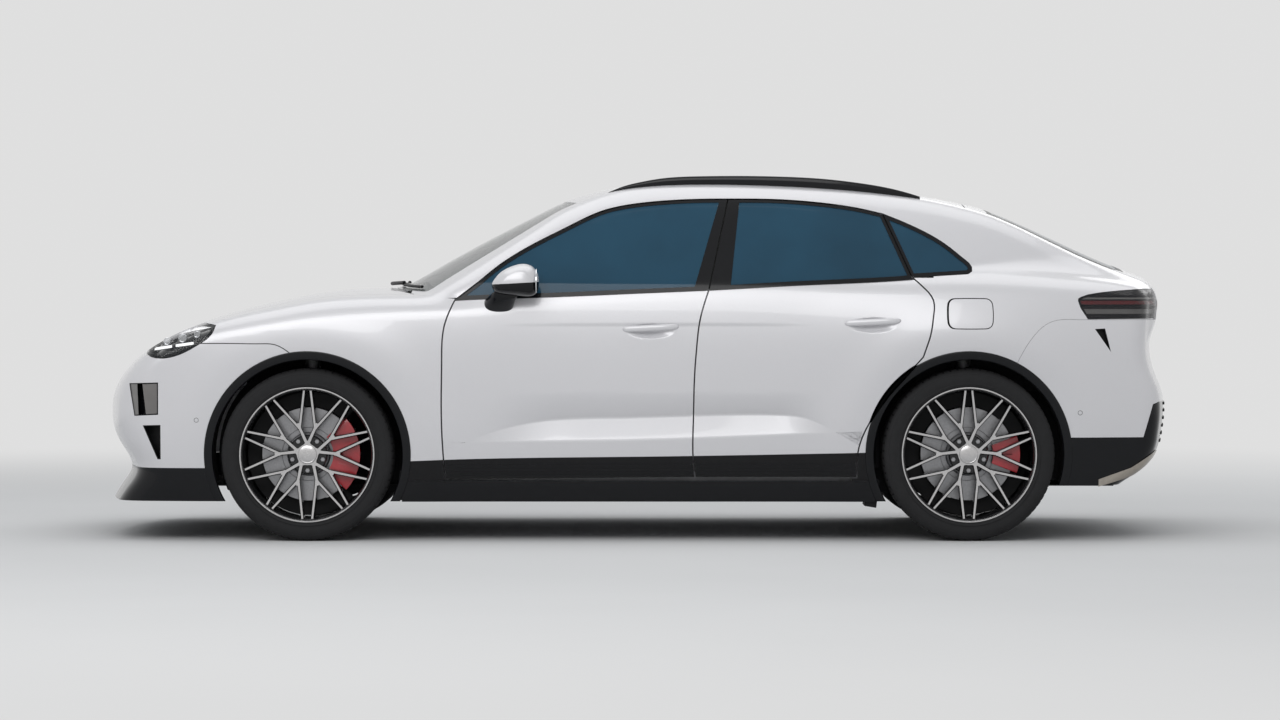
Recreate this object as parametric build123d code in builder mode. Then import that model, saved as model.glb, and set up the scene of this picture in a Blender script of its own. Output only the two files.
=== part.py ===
from build123d import *
import math
import os

os.makedirs("parts", exist_ok=True)

# An electric sport utility vehicle with four doors, a hood, a tailgate and two charge doors.
# Millimetres. The nose points along -X, the left side along -Y, Z is up. The origin is on the
# ground, midway between the two ends and the two sides.

# ------------------------------------------------------------------ sizes
LENGTH = 4784.0
WIDTH = 1938.0
HEIGHT = 1606.0
WHEELBASE = 2892.0
FRONT_OVERHANG = 950.0

FRONT_TRACK = 1664.0
REAR_TRACK = 1640.0

PANEL_GAP = 8.0
PILLAR_SPLIT = 12.0
SEAT_GAP = 0.3
SHEET = 6.0
DOOR_DEPTH = 78.0
MOVE_GAP = 6.0
HEM = 32.0
FRAME_DEPTH = 26.0
FRAME_WIDTH = 34.0
GLASS = 5.0
GLASS_INSET = 8.0
SIDE_DEPTH = 33.7
RING_INSET = 34.0
RING_DEPTH = 56.0
SILL_INSET = 84.0
SILL_DEPTH = 46.0
APERTURE = HEM - MOVE_GAP
LID_DEPTH = 26.0
BUMPER_DEPTH = 26.0

TYRE_RADIUS = 377.0
TYRE_FRONT_WIDTH = 254.0
TYRE_REAR_WIDTH = 284.0
RIM_RADIUS = 291.0
RIM_WALL = 10.0
SPOKE_DEPTH = 40.0
SPOKE_INSET = 16.0
DISC_RADIUS = 205.0
DISC_THICKNESS = 34.0
HUB_RADIUS = 56.0
ARCH_GAP = 38.0
TRIM_WIDTH = 38.0
TRIM_PROUD = 4.0
LINER_GAP = 60.0
LINER_WALL = 5.0
LINER_OUTER_Y = 890.0
LINER_INNER_Y = 560.0

FLOOR_TOP = 318.0
FLOOR_THICKNESS = 14.0
BOOT_FLOOR_TOP = 660.0
GROUND_GAP = 168.0
BATTERY_LENGTH = 1980.0
BATTERY_WIDTH = 1380.0
BATTERY_HEIGHT = 124.0
CHARGE_DOOR_THICKNESS = 5.0

# The form was drawn at these overall sizes and is stretched from them to the ones above.
DRAWN_LENGTH = 4784.0
DRAWN_WIDTH = 1938.0
DRAWN_HEIGHT = 1606.0
DRAWN_FRONT_AXLE = -1442.0
DRAWN_REAR_AXLE = 1450.0
LONG = LENGTH / DRAWN_LENGTH
WIDE = WIDTH / DRAWN_WIDTH
TALL = HEIGHT / DRAWN_HEIGHT

AXLE_FRONT_X = -LENGTH / 2 + FRONT_OVERHANG
AXLE_REAR_X = AXLE_FRONT_X + WHEELBASE
AXLES = {"front": AXLE_FRONT_X, "rear": AXLE_REAR_X}
ARCH_OPENING = TYRE_RADIUS + ARCH_GAP
ARCH_RADIUS = ARCH_OPENING + TRIM_WIDTH
LINER_RADIUS = TYRE_RADIUS + LINER_GAP
FAR = 1500.0
# The bumpers and lamps at each end are wrapped around these upright lines.
FRONT_PIVOT_X = -1700.0 * LONG
REAR_PIVOT_X = 1650.0 * LONG


# ------------------------------------------------------------------ form of the body
def curve(*points):
    """A natural cubic through (at, value) points, straight on past its ends."""
    xs = [p[0] for p in points]
    ys = [p[1] for p in points]
    last = len(xs) - 1
    step = [xs[i + 1] - xs[i] for i in range(last)]
    rise = [(ys[i + 1] - ys[i]) / step[i] for i in range(last)]
    bend = [0.0] * (last + 1)
    low = [0.0] * (last + 1)
    rest = [0.0] * (last + 1)
    for i in range(1, last):
        mid = 2 * (xs[i + 1] - xs[i - 1]) - step[i - 1] * low[i - 1]
        low[i] = step[i] / mid
        rest[i] = (6 * (rise[i] - rise[i - 1]) - step[i - 1] * rest[i - 1]) / mid
    for i in range(last - 1, 0, -1):
        bend[i] = rest[i] - low[i] * bend[i + 1]

    def at(x):
        if x <= xs[0]:
            return ys[0] + (rise[0] - step[0] * bend[1] / 6) * (x - xs[0])
        if x >= xs[-1]:
            return ys[-1] + (rise[-1] + step[-1] * bend[-2] / 6) * (x - xs[-1])
        i = 0
        while x > xs[i + 1]:
            i += 1
        a = (xs[i + 1] - x) / step[i]
        b = (x - xs[i]) / step[i]
        curved = (a**3 - a) * bend[i] + (b**3 - b) * bend[i + 1]
        return a * ys[i] + b * ys[i + 1] + curved * step[i] ** 2 / 6

    return at


def round_max(a, b, blend):
    """The larger of two, rounded over where they are within blend of each other."""
    share = min(1.0, max(0.0, 0.5 + 0.5 * (a - b) / blend))
    return b + (a - b) * share + blend * share * (1 - share)


def round_min(a, b, blend):
    return -round_max(-a, -b, blend)


waist = curve((-2400, 885), (-2000, 925), (-1442, 948), (-800, 941), (0, 944), (700, 947),
              (1450, 954), (2000, 926), (2400, 868))
tuck = curve((150, 46), (300, 23), (450, 10), (620, 3), (760, 0), (860, 1), (940, 6),
             (1020, 17), (1090, 34), (1160, 62), (1260, 120))
low_top = curve((-2400, 690), (-2274, 790), (-2150, 868), (-2020, 933), (-1850, 994), (-1700, 1034),
                (-1590, 1058), (-1430, 1088), (-1273, 1103), (-1050, 1106), (-800, 1108),
                (-425, 1132), (100, 1157), (700, 1196), (1150, 1210), (1500, 1224), (1900, 1203),
                (2162, 1174), (2320, 1130), (2400, 1095))
low_crown = curve((-2400, 7e-5), (-2000, 4.5e-5), (-1700, 5e-5), (-1000, 5e-5), (-500, 4e-5),
                  (800, 4e-5), (1500, 6e-5), (2400, 9e-5))
high_top = curve((-1250, 1000), (-1101, 1088), (-950, 1180), (-770, 1282), (-586, 1379),
                 (-448, 1449), (-346, 1498), (-260, 1527), (-139, 1558), (50, 1581), (320, 1590),
                 (600, 1586), (900, 1569), (1150, 1545), (1299, 1526), (1449, 1498), (1577, 1466),
                 (1669, 1432), (1853, 1350), (2038, 1262), (2162, 1196), (2320, 1113), (2420, 1058))
high_crown = curve((-1250, 19e-5), (-900, 19e-5), (-400, 14e-5), (-100, 7.5e-5), (500, 6e-5),
                   (1300, 8e-5), (1700, 12e-5), (2400, 16e-5))
belt_width = curve((-1300, 815), (-1000, 862), (-600, 896), (0, 911), (500, 912), (1000, 894),
                   (1450, 848), (1800, 780), (2100, 705), (2400, 620))
lean = curve((900, -30), (1020, -16), (1100, 0), (1200, 42), (1300, 92), (1400, 148),
             (1480, 200), (1560, 262), (1640, 345))
nose_x = curve((150, -2388), (230, -2340), (300, -2300), (418, -2352), (515, -2386), (600, -2386),
               (690, -2374), (780, -2345), (900, -2300), (1050, -2240))
tail_x = curve((150, 2120), (240, 2200), (300, 2290), (373, 2352), (470, 2378), (574, 2388),
               (660, 2376), (740, 2344), (820, 2326), (960, 2330), (1040, 2334), (1120, 2334),
               (1200, 2322))
ARCH_CREST = 530.0
SHOULDER = 90.0
CANT_ROUND = 60.0
NOSE_ROUND = 120.0
TAIL_ROUND = 70.0


def half_width(x, z):
    """Half the drawn body's width below the windows."""
    y = waist(x) - tuck(z)
    y += 12 * math.exp(-(((x - DRAWN_FRONT_AXLE) / 430) ** 2) - ((z - 820) / 190) ** 2)
    y += 22 * math.exp(-(((x - DRAWN_REAR_AXLE - 60) / 470) ** 2) - ((z - 900) / 190) ** 2)
    for axle in (DRAWN_FRONT_AXLE, DRAWN_REAR_AXLE):
        away = math.hypot(x - axle, z - TYRE_RADIUS) - ARCH_CREST
        y += 9 * math.exp(-((away / 110) ** 2))
    return y


def body(x, y, z, inset=0.0, floored=True):
    """Below zero inside the body, above zero outside. The inset moves every wall inwards."""
    x = x / LONG
    y = abs(y) / WIDE
    z = z / TALL
    low = round_max(y - half_width(x, z) + inset, z - low_top(x) + low_crown(x) * y * y + inset, SHOULDER)
    low = round_max(low, nose_x(z) + 16e-5 * y * y - x + inset, NOSE_ROUND)
    tail = x - tail_x(z) + 13e-5 * y * y + inset
    low = round_max(low, tail, TAIL_ROUND)
    if floored:
        low = round_max(low, GROUND_GAP - z + inset, 20)
    glass = y - belt_width(x) + lean(z) + inset
    high = round_max(glass, z - high_top(x) + high_crown(x) * y * y + inset, CANT_ROUND)
    high = round_max(high, 950 - z, 10)
    high = round_max(high, tail, TAIL_ROUND)
    soft = 14 + 90 / (1 + math.exp(-(x - 1650) / 110)) + 50 / (1 + math.exp((x + 960) / 60))
    return round_min(low, high, soft)


def reach(test, inside, outside):
    """Where a test turns from inside, below zero, to outside."""
    for _ in range(24):
        middle = (inside + outside) / 2
        if test(middle) < 0:
            inside = middle
        else:
            outside = middle
    return inside


def spread(start, stop, count):
    return [start + (stop - start) * i / (count - 1) for i in range(count)]


def strip(plane, outer, inner):
    """A closed strip between two lines of points, in a plane of its own."""
    with BuildSketch(plane) as made:
        with BuildLine():
            front = Spline(*outer)
            back = Spline(*inner)
            Line(front @ 1, back @ 1)
            Line(front @ 0, back @ 0)
        make_face()
    return made.sketch


def side_loft(stations, low, high, inset, depth, count=9):
    """A left-hand wall between two heights, following the body from station to station."""
    sections = []
    for x in stations:
        heights = spread(low(x), high(x), count)
        outer = [(-reach(lambda y: body(x, y, z, inset), 0, FAR), z) for z in heights]
        inner = [(-reach(lambda y: body(x, y, z, inset + depth), 0, FAR), z) for z in heights]
        sections.append(strip(Plane.YZ.offset(x), outer, inner))
    loft(sections=sections)


def turn_loft(stations, pivot, start, stop, inset, depth, count=9):
    """A wall seen from a pivot (y, z), between two angles from straight down through the left side."""
    py, pz = pivot
    sections = []
    for x in stations:
        lines = []
        for gone in (inset, inset + depth):
            line = []
            for angle in spread(start, stop, count):
                dy = -math.sin(math.radians(angle))
                dz = -math.cos(math.radians(angle))
                r = reach(lambda s: body(x, py + s * dy, pz + s * dz, gone), 0, FAR)
                line.append((py + r * dy, pz + r * dz))
            lines.append(line)
        sections.append(strip(Plane.YZ.offset(x), *lines))
    loft(sections=sections)


def top_loft(stations, half, inset, depth, count=9, base=400.0):
    """A panel right across the car between -half(x) and +half(x)."""
    sections = []
    for x in stations:
        across = spread(-half(x), half(x), count)
        outer = [(y, reach(lambda z: body(x, y, z, inset), base, FAR * 1.2)) for y in across]
        inner = [(y, reach(lambda z: body(x, y, z, inset + depth), base, FAR * 1.2)) for y in across]
        sections.append(strip(Plane.YZ.offset(x), outer, inner))
    loft(sections=sections)


def plan_loft(levels, pivot_x, start, stop, inset, depth, count=13):
    """A wall round the nose or the tail, seen from a pivot, between two angles from -X towards -Y."""
    sections = []
    for z in levels:
        lines = []
        for gone in (inset, inset + depth):
            line = []
            for angle in spread(start, stop, count):
                dx = -math.cos(math.radians(angle))
                dy = -math.sin(math.radians(angle))
                r = reach(lambda s: body(pivot_x + s * dx, s * dy, z, gone, False), 0, FAR)
                line.append((pivot_x + r * dx, r * dy))
            lines.append(line)
        sections.append(strip(Plane.XY.offset(z), *lines))
    loft(sections=sections)


def back_loft(stations, pivot, start, stop, inset, depth, count=15):
    """A wall over the tail, seen from a pivot (x, z), between two angles above straight back."""
    px, pz = pivot
    sections = []
    for y in stations:
        lines = []
        for gone in (inset, inset + depth):
            line = []
            for angle in spread(start, stop, count):
                dx = math.cos(math.radians(angle))
                dz = math.sin(math.radians(angle))
                r = reach(lambda s: body(px + s * dx, y, pz + s * dz, gone, False), 0, FAR)
                line.append((px + r * dx, pz + r * dz))
            lines.append(line)
        sections.append(strip(Plane.XZ.offset(-y), *lines))
    loft(sections=sections)


def outline(plane, points):
    """A straight-sided face through points in a plane."""
    with BuildSketch(plane) as made:
        with BuildLine():
            Polyline(*points, close=True)
        make_face()
    return made.sketch


def trim_side(points, mode=Mode.INTERSECT):
    """Trim the part to an outline of (x, z) points seen from the side, or cut it away."""
    extrude(outline(Plane.XZ, points), amount=FAR, both=True, mode=mode)


def trim_top(points, mode=Mode.INTERSECT):
    """Trim the part to an outline of (x, y) points seen from above, or cut it away."""
    extrude(outline(Plane.XY, points), amount=2 * FAR, both=True, mode=mode)


def write(piece, label):
    piece.part.label = label
    export_step(piece.part, f"parts/{label}.step")


def sheet_loft(stations, wall, low, high, inset, depth, count=7):
    """A left-hand wall whose distance from the middle is wall(x, z), between two heights."""
    sections = []
    for x in stations:
        lines = []
        for gone in (inset, inset + depth):
            lines.append([(gone - wall(x, z), z) for z in spread(low(x), high(x), count)])
        sections.append(strip(Plane.YZ.offset(x), *lines))
    loft(sections=sections)


def flank(x, z):
    """Half the body's width below the windows."""
    return half_width(x / LONG, z / TALL) * WIDE


def lean_wall(x, z):
    """Half the body's width at the side windows, which lean in."""
    return (belt_width(x / LONG) - lean(z / TALL)) * WIDE


def window_loft(stations, low, high, inset, depth, count=7):
    sheet_loft(stations, lean_wall, lambda x: low, lambda x: high, inset, depth, count)


def stretch_side(*points):
    return [(x * LONG, z * TALL) for x, z in points]


def stretch_top(*points):
    return [(x * LONG, y * WIDE) for x, y in points]


def shifted(points, amount):
    """A closed outline moved out by an amount all round, or in where it is negative."""
    count = len(points)
    area = sum(points[i - 1][0] * points[i][1] - points[i][0] * points[i - 1][1] for i in range(count))
    turn = math.copysign(1.0, area)
    normals = []
    for i in range(count):
        dx = points[(i + 1) % count][0] - points[i][0]
        dy = points[(i + 1) % count][1] - points[i][1]
        run = math.hypot(dx, dy)
        normals.append((turn * dy / run, -turn * dx / run))
    moved = []
    for i in range(count):
        ax, ay = normals[i - 1]
        bx, by = normals[i]
        share = amount / (1 + ax * bx + ay * by)
        moved.append((points[i][0] + (ax + bx) * share, points[i][1] + (ay + by) * share))
    return moved


# ------------------------------------------------------------------ lines on the side of the body
BELT = curve((-1000, 1040), (-798, 1053), (-425, 1066), (100, 1088), (314, 1097), (713, 1119),
             (1151, 1141), (1453, 1169), (1700, 1190))
FRONT_DOOR_EDGE = stretch_side((-839, 267), (-852, 442), (-856, 616), (-854, 791), (-842, 944), (-798, 1053))
FRONT_WINDOW_TOP = stretch_side((-690, 1136), (-603, 1207), (-516, 1264), (-428, 1313), (-341, 1357),
                                (-253, 1402), (-164, 1442), (-76, 1466), (12, 1480), (101, 1489),
                                (278, 1498), (402, 1499))
DOOR_SPLIT = stretch_side((314, 1097), (292, 1031), (275, 966), (261, 856), (250, 704), (246, 529),
                          (244, 376), (253, 276))
REAR_WINDOW_TOP = stretch_side((402, 1499), (633, 1496), (810, 1482), (986, 1456), (1085, 1433))
REAR_DOOR_EDGE = stretch_side((1205, 1154), (1260, 1101), (1286, 1070), (1297, 1040), (1294, 987),
                              (1280, 900), (1266, 856), (1248, 804), (1100, 640), (964, 385), (960, 276))
QUARTER_WINDOW = stretch_side((1085, 1433), (1162, 1402), (1249, 1362), (1336, 1313), (1401, 1264),
                              (1443, 1229), (1469, 1202), (1472, 1185), (1453, 1169), (1205, 1154))
FRONT_DOOR = FRONT_DOOR_EDGE + FRONT_WINDOW_TOP + DOOR_SPLIT
REAR_DOOR = list(reversed(DOOR_SPLIT)) + REAR_WINDOW_TOP + REAR_DOOR_EDGE
WINDOWS = (FRONT_DOOR_EDGE[-1:] + FRONT_WINDOW_TOP + REAR_WINDOW_TOP[1:] + QUARTER_WINDOW[1:-1]
           + stretch_side((1453, 900), (-798, 900)))


def belt(x):
    return BELT(x / LONG) * TALL


HOOD_HALF = stretch_top((-2178, 0), (-2172, -220), (-2146, -420), (-2095, -555), (-2000, -640), (-1850, -688),
                        (-1600, -720), (-1300, -742), (-1100, -754), (-985, -758), (-1025, -650),
                        (-1078, -480), (-1112, -280), (-1128, 0))
SHIELD_HALF = stretch_top((-1101, 0), (-1090, -220), (-1052, -440), (-985, -630), (-930, -742), (-828, -716),
                          (-696, -690), (-564, -660), (-432, -630), (-268, -596), (-320, -300), (-338, 0))
ROOF_HALF = stretch_top((-338, 0), (-320, -300), (-268, -596), (-60, -604), (400, -606), (900, -598), (1456, -566),
                        (1464, -300), (1468, 0))
TAILGATE_HALF = stretch_top((1472, 0), (1468, -300), (1460, -566), (1700, -585), (2000, -590), (2180, -586),
                            (2420, -580), (2420, 0))


def whole(half):
    """A left-hand outline closed with its mirror image."""
    right = [(x, -y) for x, y in reversed(half) if y]
    return half + right


FRONT_BUMPER_LINE = stretch_side((-2600, 100), (-2600, 880), (-2158, 812), (-2133, 806), (-1989, 819), (-1900, 826),
                                 (-1862, 800), (-1820, 700), (-1800, 640), (-1800, 100))
REAR_BUMPER_LINE = stretch_side((2600, 100), (2600, 966), (1930, 966), (1800, 953), (1735, 900), (1670, 800),
                                (1600, 640), (1600, 100))
BUMPER_LAMP = stretch_side((-2227, 688), (-2096, 692), (-2096, 551), (-2202, 546))
HEADLIGHT = stretch_side((-2175, 830), (-2133, 806), (-1989, 819), (-1917, 858), (-1855, 912), (-1845, 943),
                         (-1925, 952), (-2042, 926), (-2120, 880))
TAIL_LIGHT = stretch_side((1931, 1053), (1971, 969), (2600, 980), (2600, 1105), (2228, 1102))


# ------------------------------------------------------------------ doors
SIDES = {"left": 1, "right": -1}


def door(points, split_end, first, last):
    """A left door without its glass: a hemmed skin, an inner box and a window frame."""
    stations = spread(first, last, 8)
    with BuildPart() as skin:
        side_loft(stations, lambda x: 250, lambda x: belt(x) - 2, 0, SHEET, 9)
        trim_side(shifted(points, -PANEL_GAP / 2))
    with BuildPart() as box:
        side_loft(stations, lambda x: 290, lambda x: belt(x) - 12, SHEET - 1, DOOR_DEPTH - SHEET + 1, 9)
        trim_side(shifted(points, -HEM))
    with BuildPart() as frame:
        window_loft(stations, 1045 * TALL, 1520 * TALL, 0, FRAME_DEPTH)
        trim_side(shifted(points, -PANEL_GAP / 2))
        trim_side([(split_end[0] - PILLAR_SPLIT / 2, 900), (split_end[0] + PILLAR_SPLIT / 2, 900),
                   (split_end[1] + PILLAR_SPLIT / 2, 1600), (split_end[1] - PILLAR_SPLIT / 2, 1600)],
                  Mode.SUBTRACT)
    return skin.part, box.part, frame.part


def window_hole(points, margin, belt_margin):
    """The clear opening of a window: the outline drawn in, and nothing below the belt."""
    with BuildSketch(Plane.XZ) as made:
        add(outline(Plane.XZ, shifted(points, -margin)))
        add(outline(Plane.XZ, [(-FAR * 2, belt(-FAR * 2) + belt_margin), (0, belt(0) + belt_margin),
                               (FAR * 2, belt(FAR * 2) + belt_margin), (FAR * 2, FAR * 2),
                               (-FAR * 2, FAR * 2)]), mode=Mode.INTERSECT)
    return made.sketch


def arch_cut(axle, radius):
    with BuildSketch(Plane.XZ) as made:
        with Locations((axle, TYRE_RADIUS)):
            Circle(radius)
    return made.sketch


DOORS = {
    "front_door": (FRONT_DOOR, (271 * LONG, 424 * LONG), -862 * LONG, 450 * LONG),
    "rear_door": (REAR_DOOR, (271 * LONG, 424 * LONG), 200 * LONG, 1340 * LONG),
}
for name, (points, split_line, first, last) in DOORS.items():
    skin, box, frame = door(points, split_line, first, last)
    with BuildPart() as shell:
        add(skin)
        add(box)
        add(frame)
        extrude(window_hole(points, FRAME_WIDTH, 14), amount=FAR, both=True, mode=Mode.SUBTRACT)
        extrude(arch_cut(AXLE_REAR_X, ARCH_RADIUS + PANEL_GAP), amount=FAR, both=True, mode=Mode.SUBTRACT)
    with BuildPart() as glass:
        window_loft(spread(first, last, 8), 1000, 1520, GLASS_INSET, GLASS)
        extrude(window_hole(points, FRAME_WIDTH + SEAT_GAP, 14 + SEAT_GAP), amount=FAR, both=True,
                mode=Mode.INTERSECT)
    for side, hand in SIDES.items():
        for piece, label in ((shell, name), (glass, f"{name}_glass")):
            with BuildPart() as placed:
                add(piece.part if hand > 0 else piece.part.mirror(Plane.XZ))
            write(placed, f"{label}_{side}")


# ------------------------------------------------------------------ body frame
def box_at(x0, x1, y0, y1, z0, z1, mode=Mode.ADD):
    with BuildSketch(Plane.XY.offset(z0)) as base:
        with Locations(((x0 + x1) / 2, (y0 + y1) / 2)):
            Rectangle(x1 - x0, y1 - y0)
    extrude(base.sketch, amount=z1 - z0, mode=mode)


RING_FRONT = -1010 * LONG
RING_REAR = 1330 * LONG
SILL_BOTTOM = 205.0
GREENHOUSE = stretch_side((-1010, 990), (-946, 1020), (-828, 1090), (-696, 1168), (-564, 1246), (-432, 1322),
                          (-268, 1404), (-60, 1462), (402, 1494), (900, 1472), (1300, 1400), (1330, 1380),
                          (1330, 990))
BULKHEAD_X = -960 * LONG
BULKHEAD = 14.0
RAIL_INNER_Y = 340.0
RAIL_OUTER_Y = 420.0
RAIL_BOTTOM = 585.0
RAIL_FRONT = -2060 * LONG
RAIL_REAR = 2200 * LONG
HEADER_DEPTH = 40.0
STEP_X = 1064 * LONG
BOOT_SHEET_BOTTOM = BOOT_FLOOR_TOP - FLOOR_THICKNESS
RING_STATIONS = spread(RING_FRONT, RING_REAR, 8)
CANT_STATIONS = spread(-1000 * LONG, 1300 * LONG, 12)
CANT_PIVOT = (-300 * WIDE, 1000 * TALL)
A_PILLAR_FOOT = stretch_side((-3000, 1200), (-1000, 1080), (-798, 1058))

with BuildPart() as window_ring:
    window_loft(RING_STATIONS, 990, 1530, RING_INSET, RING_DEPTH)
    trim_side(GREENHOUSE)

with BuildPart() as cant_room:
    turn_loft(CANT_STATIONS, CANT_PIVOT, 96, 168, -2, SIDE_DEPTH + SEAT_GAP + 2)
    mirror(about=Plane.XZ)

with BuildPart() as cross_beams:
    top_loft(spread(BULKHEAD_X - 60, BULKHEAD_X, 3), lambda x: 800 * WIDE, 40, 50)
    top_loft(spread(-345 * LONG, -285 * LONG, 3), lambda x: 690 * WIDE, RING_INSET, HEADER_DEPTH, 13)

with BuildPart() as body_frame:
    sheet_loft(RING_STATIONS, flank, lambda x: SILL_BOTTOM, lambda x: 1040 * TALL, SILL_INSET, SILL_DEPTH)
    add(window_ring.part)
    trim_side(shifted(FRONT_DOOR, -APERTURE), Mode.SUBTRACT)
    trim_side(shifted(REAR_DOOR, -APERTURE), Mode.SUBTRACT)
    trim_side(shifted(QUARTER_WINDOW, -6), Mode.SUBTRACT)
    for axle in (AXLE_FRONT_X, AXLE_REAR_X):
        extrude(arch_cut(axle, ARCH_RADIUS + SEAT_GAP), amount=FAR, both=True, mode=Mode.SUBTRACT)
    mirror(about=Plane.XZ)
    add(cross_beams.part)
    add(cant_room.part, mode=Mode.SUBTRACT)
    for hand in (-1, 1):
        near_y, far_y = sorted((hand * RAIL_INNER_Y, hand * RAIL_OUTER_Y))
        box_at(RAIL_FRONT, BULKHEAD_X - BULKHEAD - SEAT_GAP, near_y, far_y, RAIL_BOTTOM, BOOT_SHEET_BOTTOM - SEAT_GAP)
    toe_half = (waist(-985) - SILL_INSET - SILL_DEPTH / 2) * WIDE
    box_at(BULKHEAD_X - BULKHEAD - SEAT_GAP - 14, BULKHEAD_X - BULKHEAD - SEAT_GAP, -toe_half, toe_half,
           RAIL_BOTTOM, BOOT_SHEET_BOTTOM - SEAT_GAP)
write(body_frame, "body_frame")

with BuildPart() as rear_rails:
    for hand in (-1, 1):
        near_y, far_y = sorted((hand * RAIL_INNER_Y, hand * RAIL_OUTER_Y))
        box_at(STEP_X + BULKHEAD + SEAT_GAP, RAIL_REAR, near_y, far_y, RAIL_BOTTOM, BOOT_SHEET_BOTTOM - SEAT_GAP)
write(rear_rails, "rear_rails")

# ------------------------------------------------------------------ roof, glass and fixed panels
ROOF_DEPTH = 18.0
with BuildPart() as roof_panel:
    top_loft(spread(-360 * LONG, 1500 * LONG, 9), lambda x: 610 * WIDE, 0, ROOF_DEPTH, 9)
    trim_top(whole(shifted(ROOF_HALF, 0)))
write(roof_panel, "roof_panel")

with BuildPart() as windshield:
    top_loft(spread(-1110 * LONG, -255 * LONG, 8), lambda x: 700 * WIDE, 2, GLASS, 9)
    trim_top(shifted(whole(SHIELD_HALF), -SEAT_GAP))
write(windshield, "windshield")

SIDE_SPLIT_X = 1300 * LONG
with BuildPart() as cant:
    turn_loft(spread(-1000 * LONG, SIDE_SPLIT_X - SEAT_GAP, 12), CANT_PIVOT, 96, 168, 0, SIDE_DEPTH)
    trim_side(shifted(WINDOWS, PANEL_GAP / 2), Mode.SUBTRACT)
    trim_top(shifted(whole(SHIELD_HALF), SEAT_GAP), Mode.SUBTRACT)
    trim_top(shifted(whole(ROOF_HALF), SEAT_GAP), Mode.SUBTRACT)
    trim_top(shifted(whole(HOOD_HALF), PANEL_GAP / 2), Mode.SUBTRACT)
    trim_side(A_PILLAR_FOOT + [(3000, 1210), (3000, 3000), (-3000, 3000)])
    mirror(about=Plane.XZ)
write(cant, "roof_sides")

with BuildPart() as quarter_glass:
    window_loft(spread(1060 * LONG, 1490 * LONG, 6), 1100, 1480, GLASS_INSET, GLASS)
    trim_side(shifted(QUARTER_WINDOW, PANEL_GAP / 2 - SEAT_GAP))
    trim_side(shifted(REAR_DOOR, PANEL_GAP), Mode.SUBTRACT)
    mirror(about=Plane.XZ)
write(quarter_glass, "quarter_glass")

CHARGE_DOOR = stretch_side((1357, 1062), (1357, 936), (1372, 922), (1540, 922), (1555, 936), (1555, 1048),
                           (1541, 1062))
with BuildPart() as quarter:
    turn_loft(spread(930 * LONG, 2230 * LONG, 13), (-300 * WIDE, 760 * TALL), 50, 170, 0, SIDE_DEPTH, 23)
    trim_side(shifted(REAR_DOOR, PANEL_GAP), Mode.SUBTRACT)
    trim_side([(0, 1150), (SIDE_SPLIT_X, 1150), (SIDE_SPLIT_X, 3000), (0, 3000)], Mode.SUBTRACT)
    trim_side([(0, 0), (FAR, 0), (FAR, 276 * TALL), (0, 276 * TALL)], Mode.SUBTRACT)
    trim_top(shifted(whole(ROOF_HALF), SEAT_GAP), Mode.SUBTRACT)
    trim_side(shifted(QUARTER_WINDOW, PANEL_GAP / 2), Mode.SUBTRACT)
    trim_side(shifted(REAR_BUMPER_LINE, SEAT_GAP), Mode.SUBTRACT)
    trim_side(shifted(TAIL_LIGHT, SEAT_GAP), Mode.SUBTRACT)
    trim_side(CHARGE_DOOR, Mode.SUBTRACT)
    trim_top(shifted(whole(TAILGATE_HALF), PANEL_GAP / 2), Mode.SUBTRACT)
    extrude(arch_cut(AXLE_REAR_X, ARCH_RADIUS + SEAT_GAP), amount=FAR, both=True, mode=Mode.SUBTRACT)
    mirror(about=Plane.XZ)
write(quarter, "quarter_panels")

with BuildPart() as fender:
    turn_loft(spread(-2130 * LONG, -780 * LONG, 11), (-300 * WIDE, 600 * TALL), 50, 176, 0, SHEET, 23)
    trim_side(shifted(FRONT_DOOR, PANEL_GAP / 2), Mode.SUBTRACT)
    trim_side(shifted([(-3000, 276 * TALL), (-798 * LONG, 276 * TALL)] + list(reversed(A_PILLAR_FOOT)), -SEAT_GAP))
    trim_side(shifted(FRONT_BUMPER_LINE, SEAT_GAP), Mode.SUBTRACT)
    trim_side(shifted(HEADLIGHT, SEAT_GAP), Mode.SUBTRACT)
    trim_top(shifted(whole(HOOD_HALF), PANEL_GAP / 2), Mode.SUBTRACT)
    trim_top(shifted(whole(SHIELD_HALF), 30), Mode.SUBTRACT)
    extrude(arch_cut(AXLE_FRONT_X, ARCH_RADIUS + SEAT_GAP), amount=FAR, both=True, mode=Mode.SUBTRACT)
    mirror(about=Plane.XZ)
write(fender, "front_fenders")

with BuildPart() as hood:
    top_loft(spread(-2200 * LONG, -960 * LONG, 11), lambda x: 775 * WIDE, 0, LID_DEPTH, 11)
    trim_top(shifted(whole(HOOD_HALF), -PANEL_GAP / 2))
write(hood, "hood")

with BuildPart() as front_bumper:
    plan_loft([z * TALL for z in (318, 360, 418, 515, 600, 690, 760, 820, 870)], FRONT_PIVOT_X, -84, 84, 0,
              BUMPER_DEPTH, 15)
    trim_side(FRONT_BUMPER_LINE)
    trim_side(shifted(BUMPER_LAMP, SEAT_GAP), Mode.SUBTRACT)
    trim_side(shifted(HEADLIGHT, SEAT_GAP), Mode.SUBTRACT)
    trim_top(shifted(whole(HOOD_HALF), PANEL_GAP / 2), Mode.SUBTRACT)
    extrude(arch_cut(AXLE_FRONT_X, ARCH_RADIUS + SEAT_GAP), amount=FAR, both=True, mode=Mode.SUBTRACT)
write(front_bumper, "front_bumper")

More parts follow.
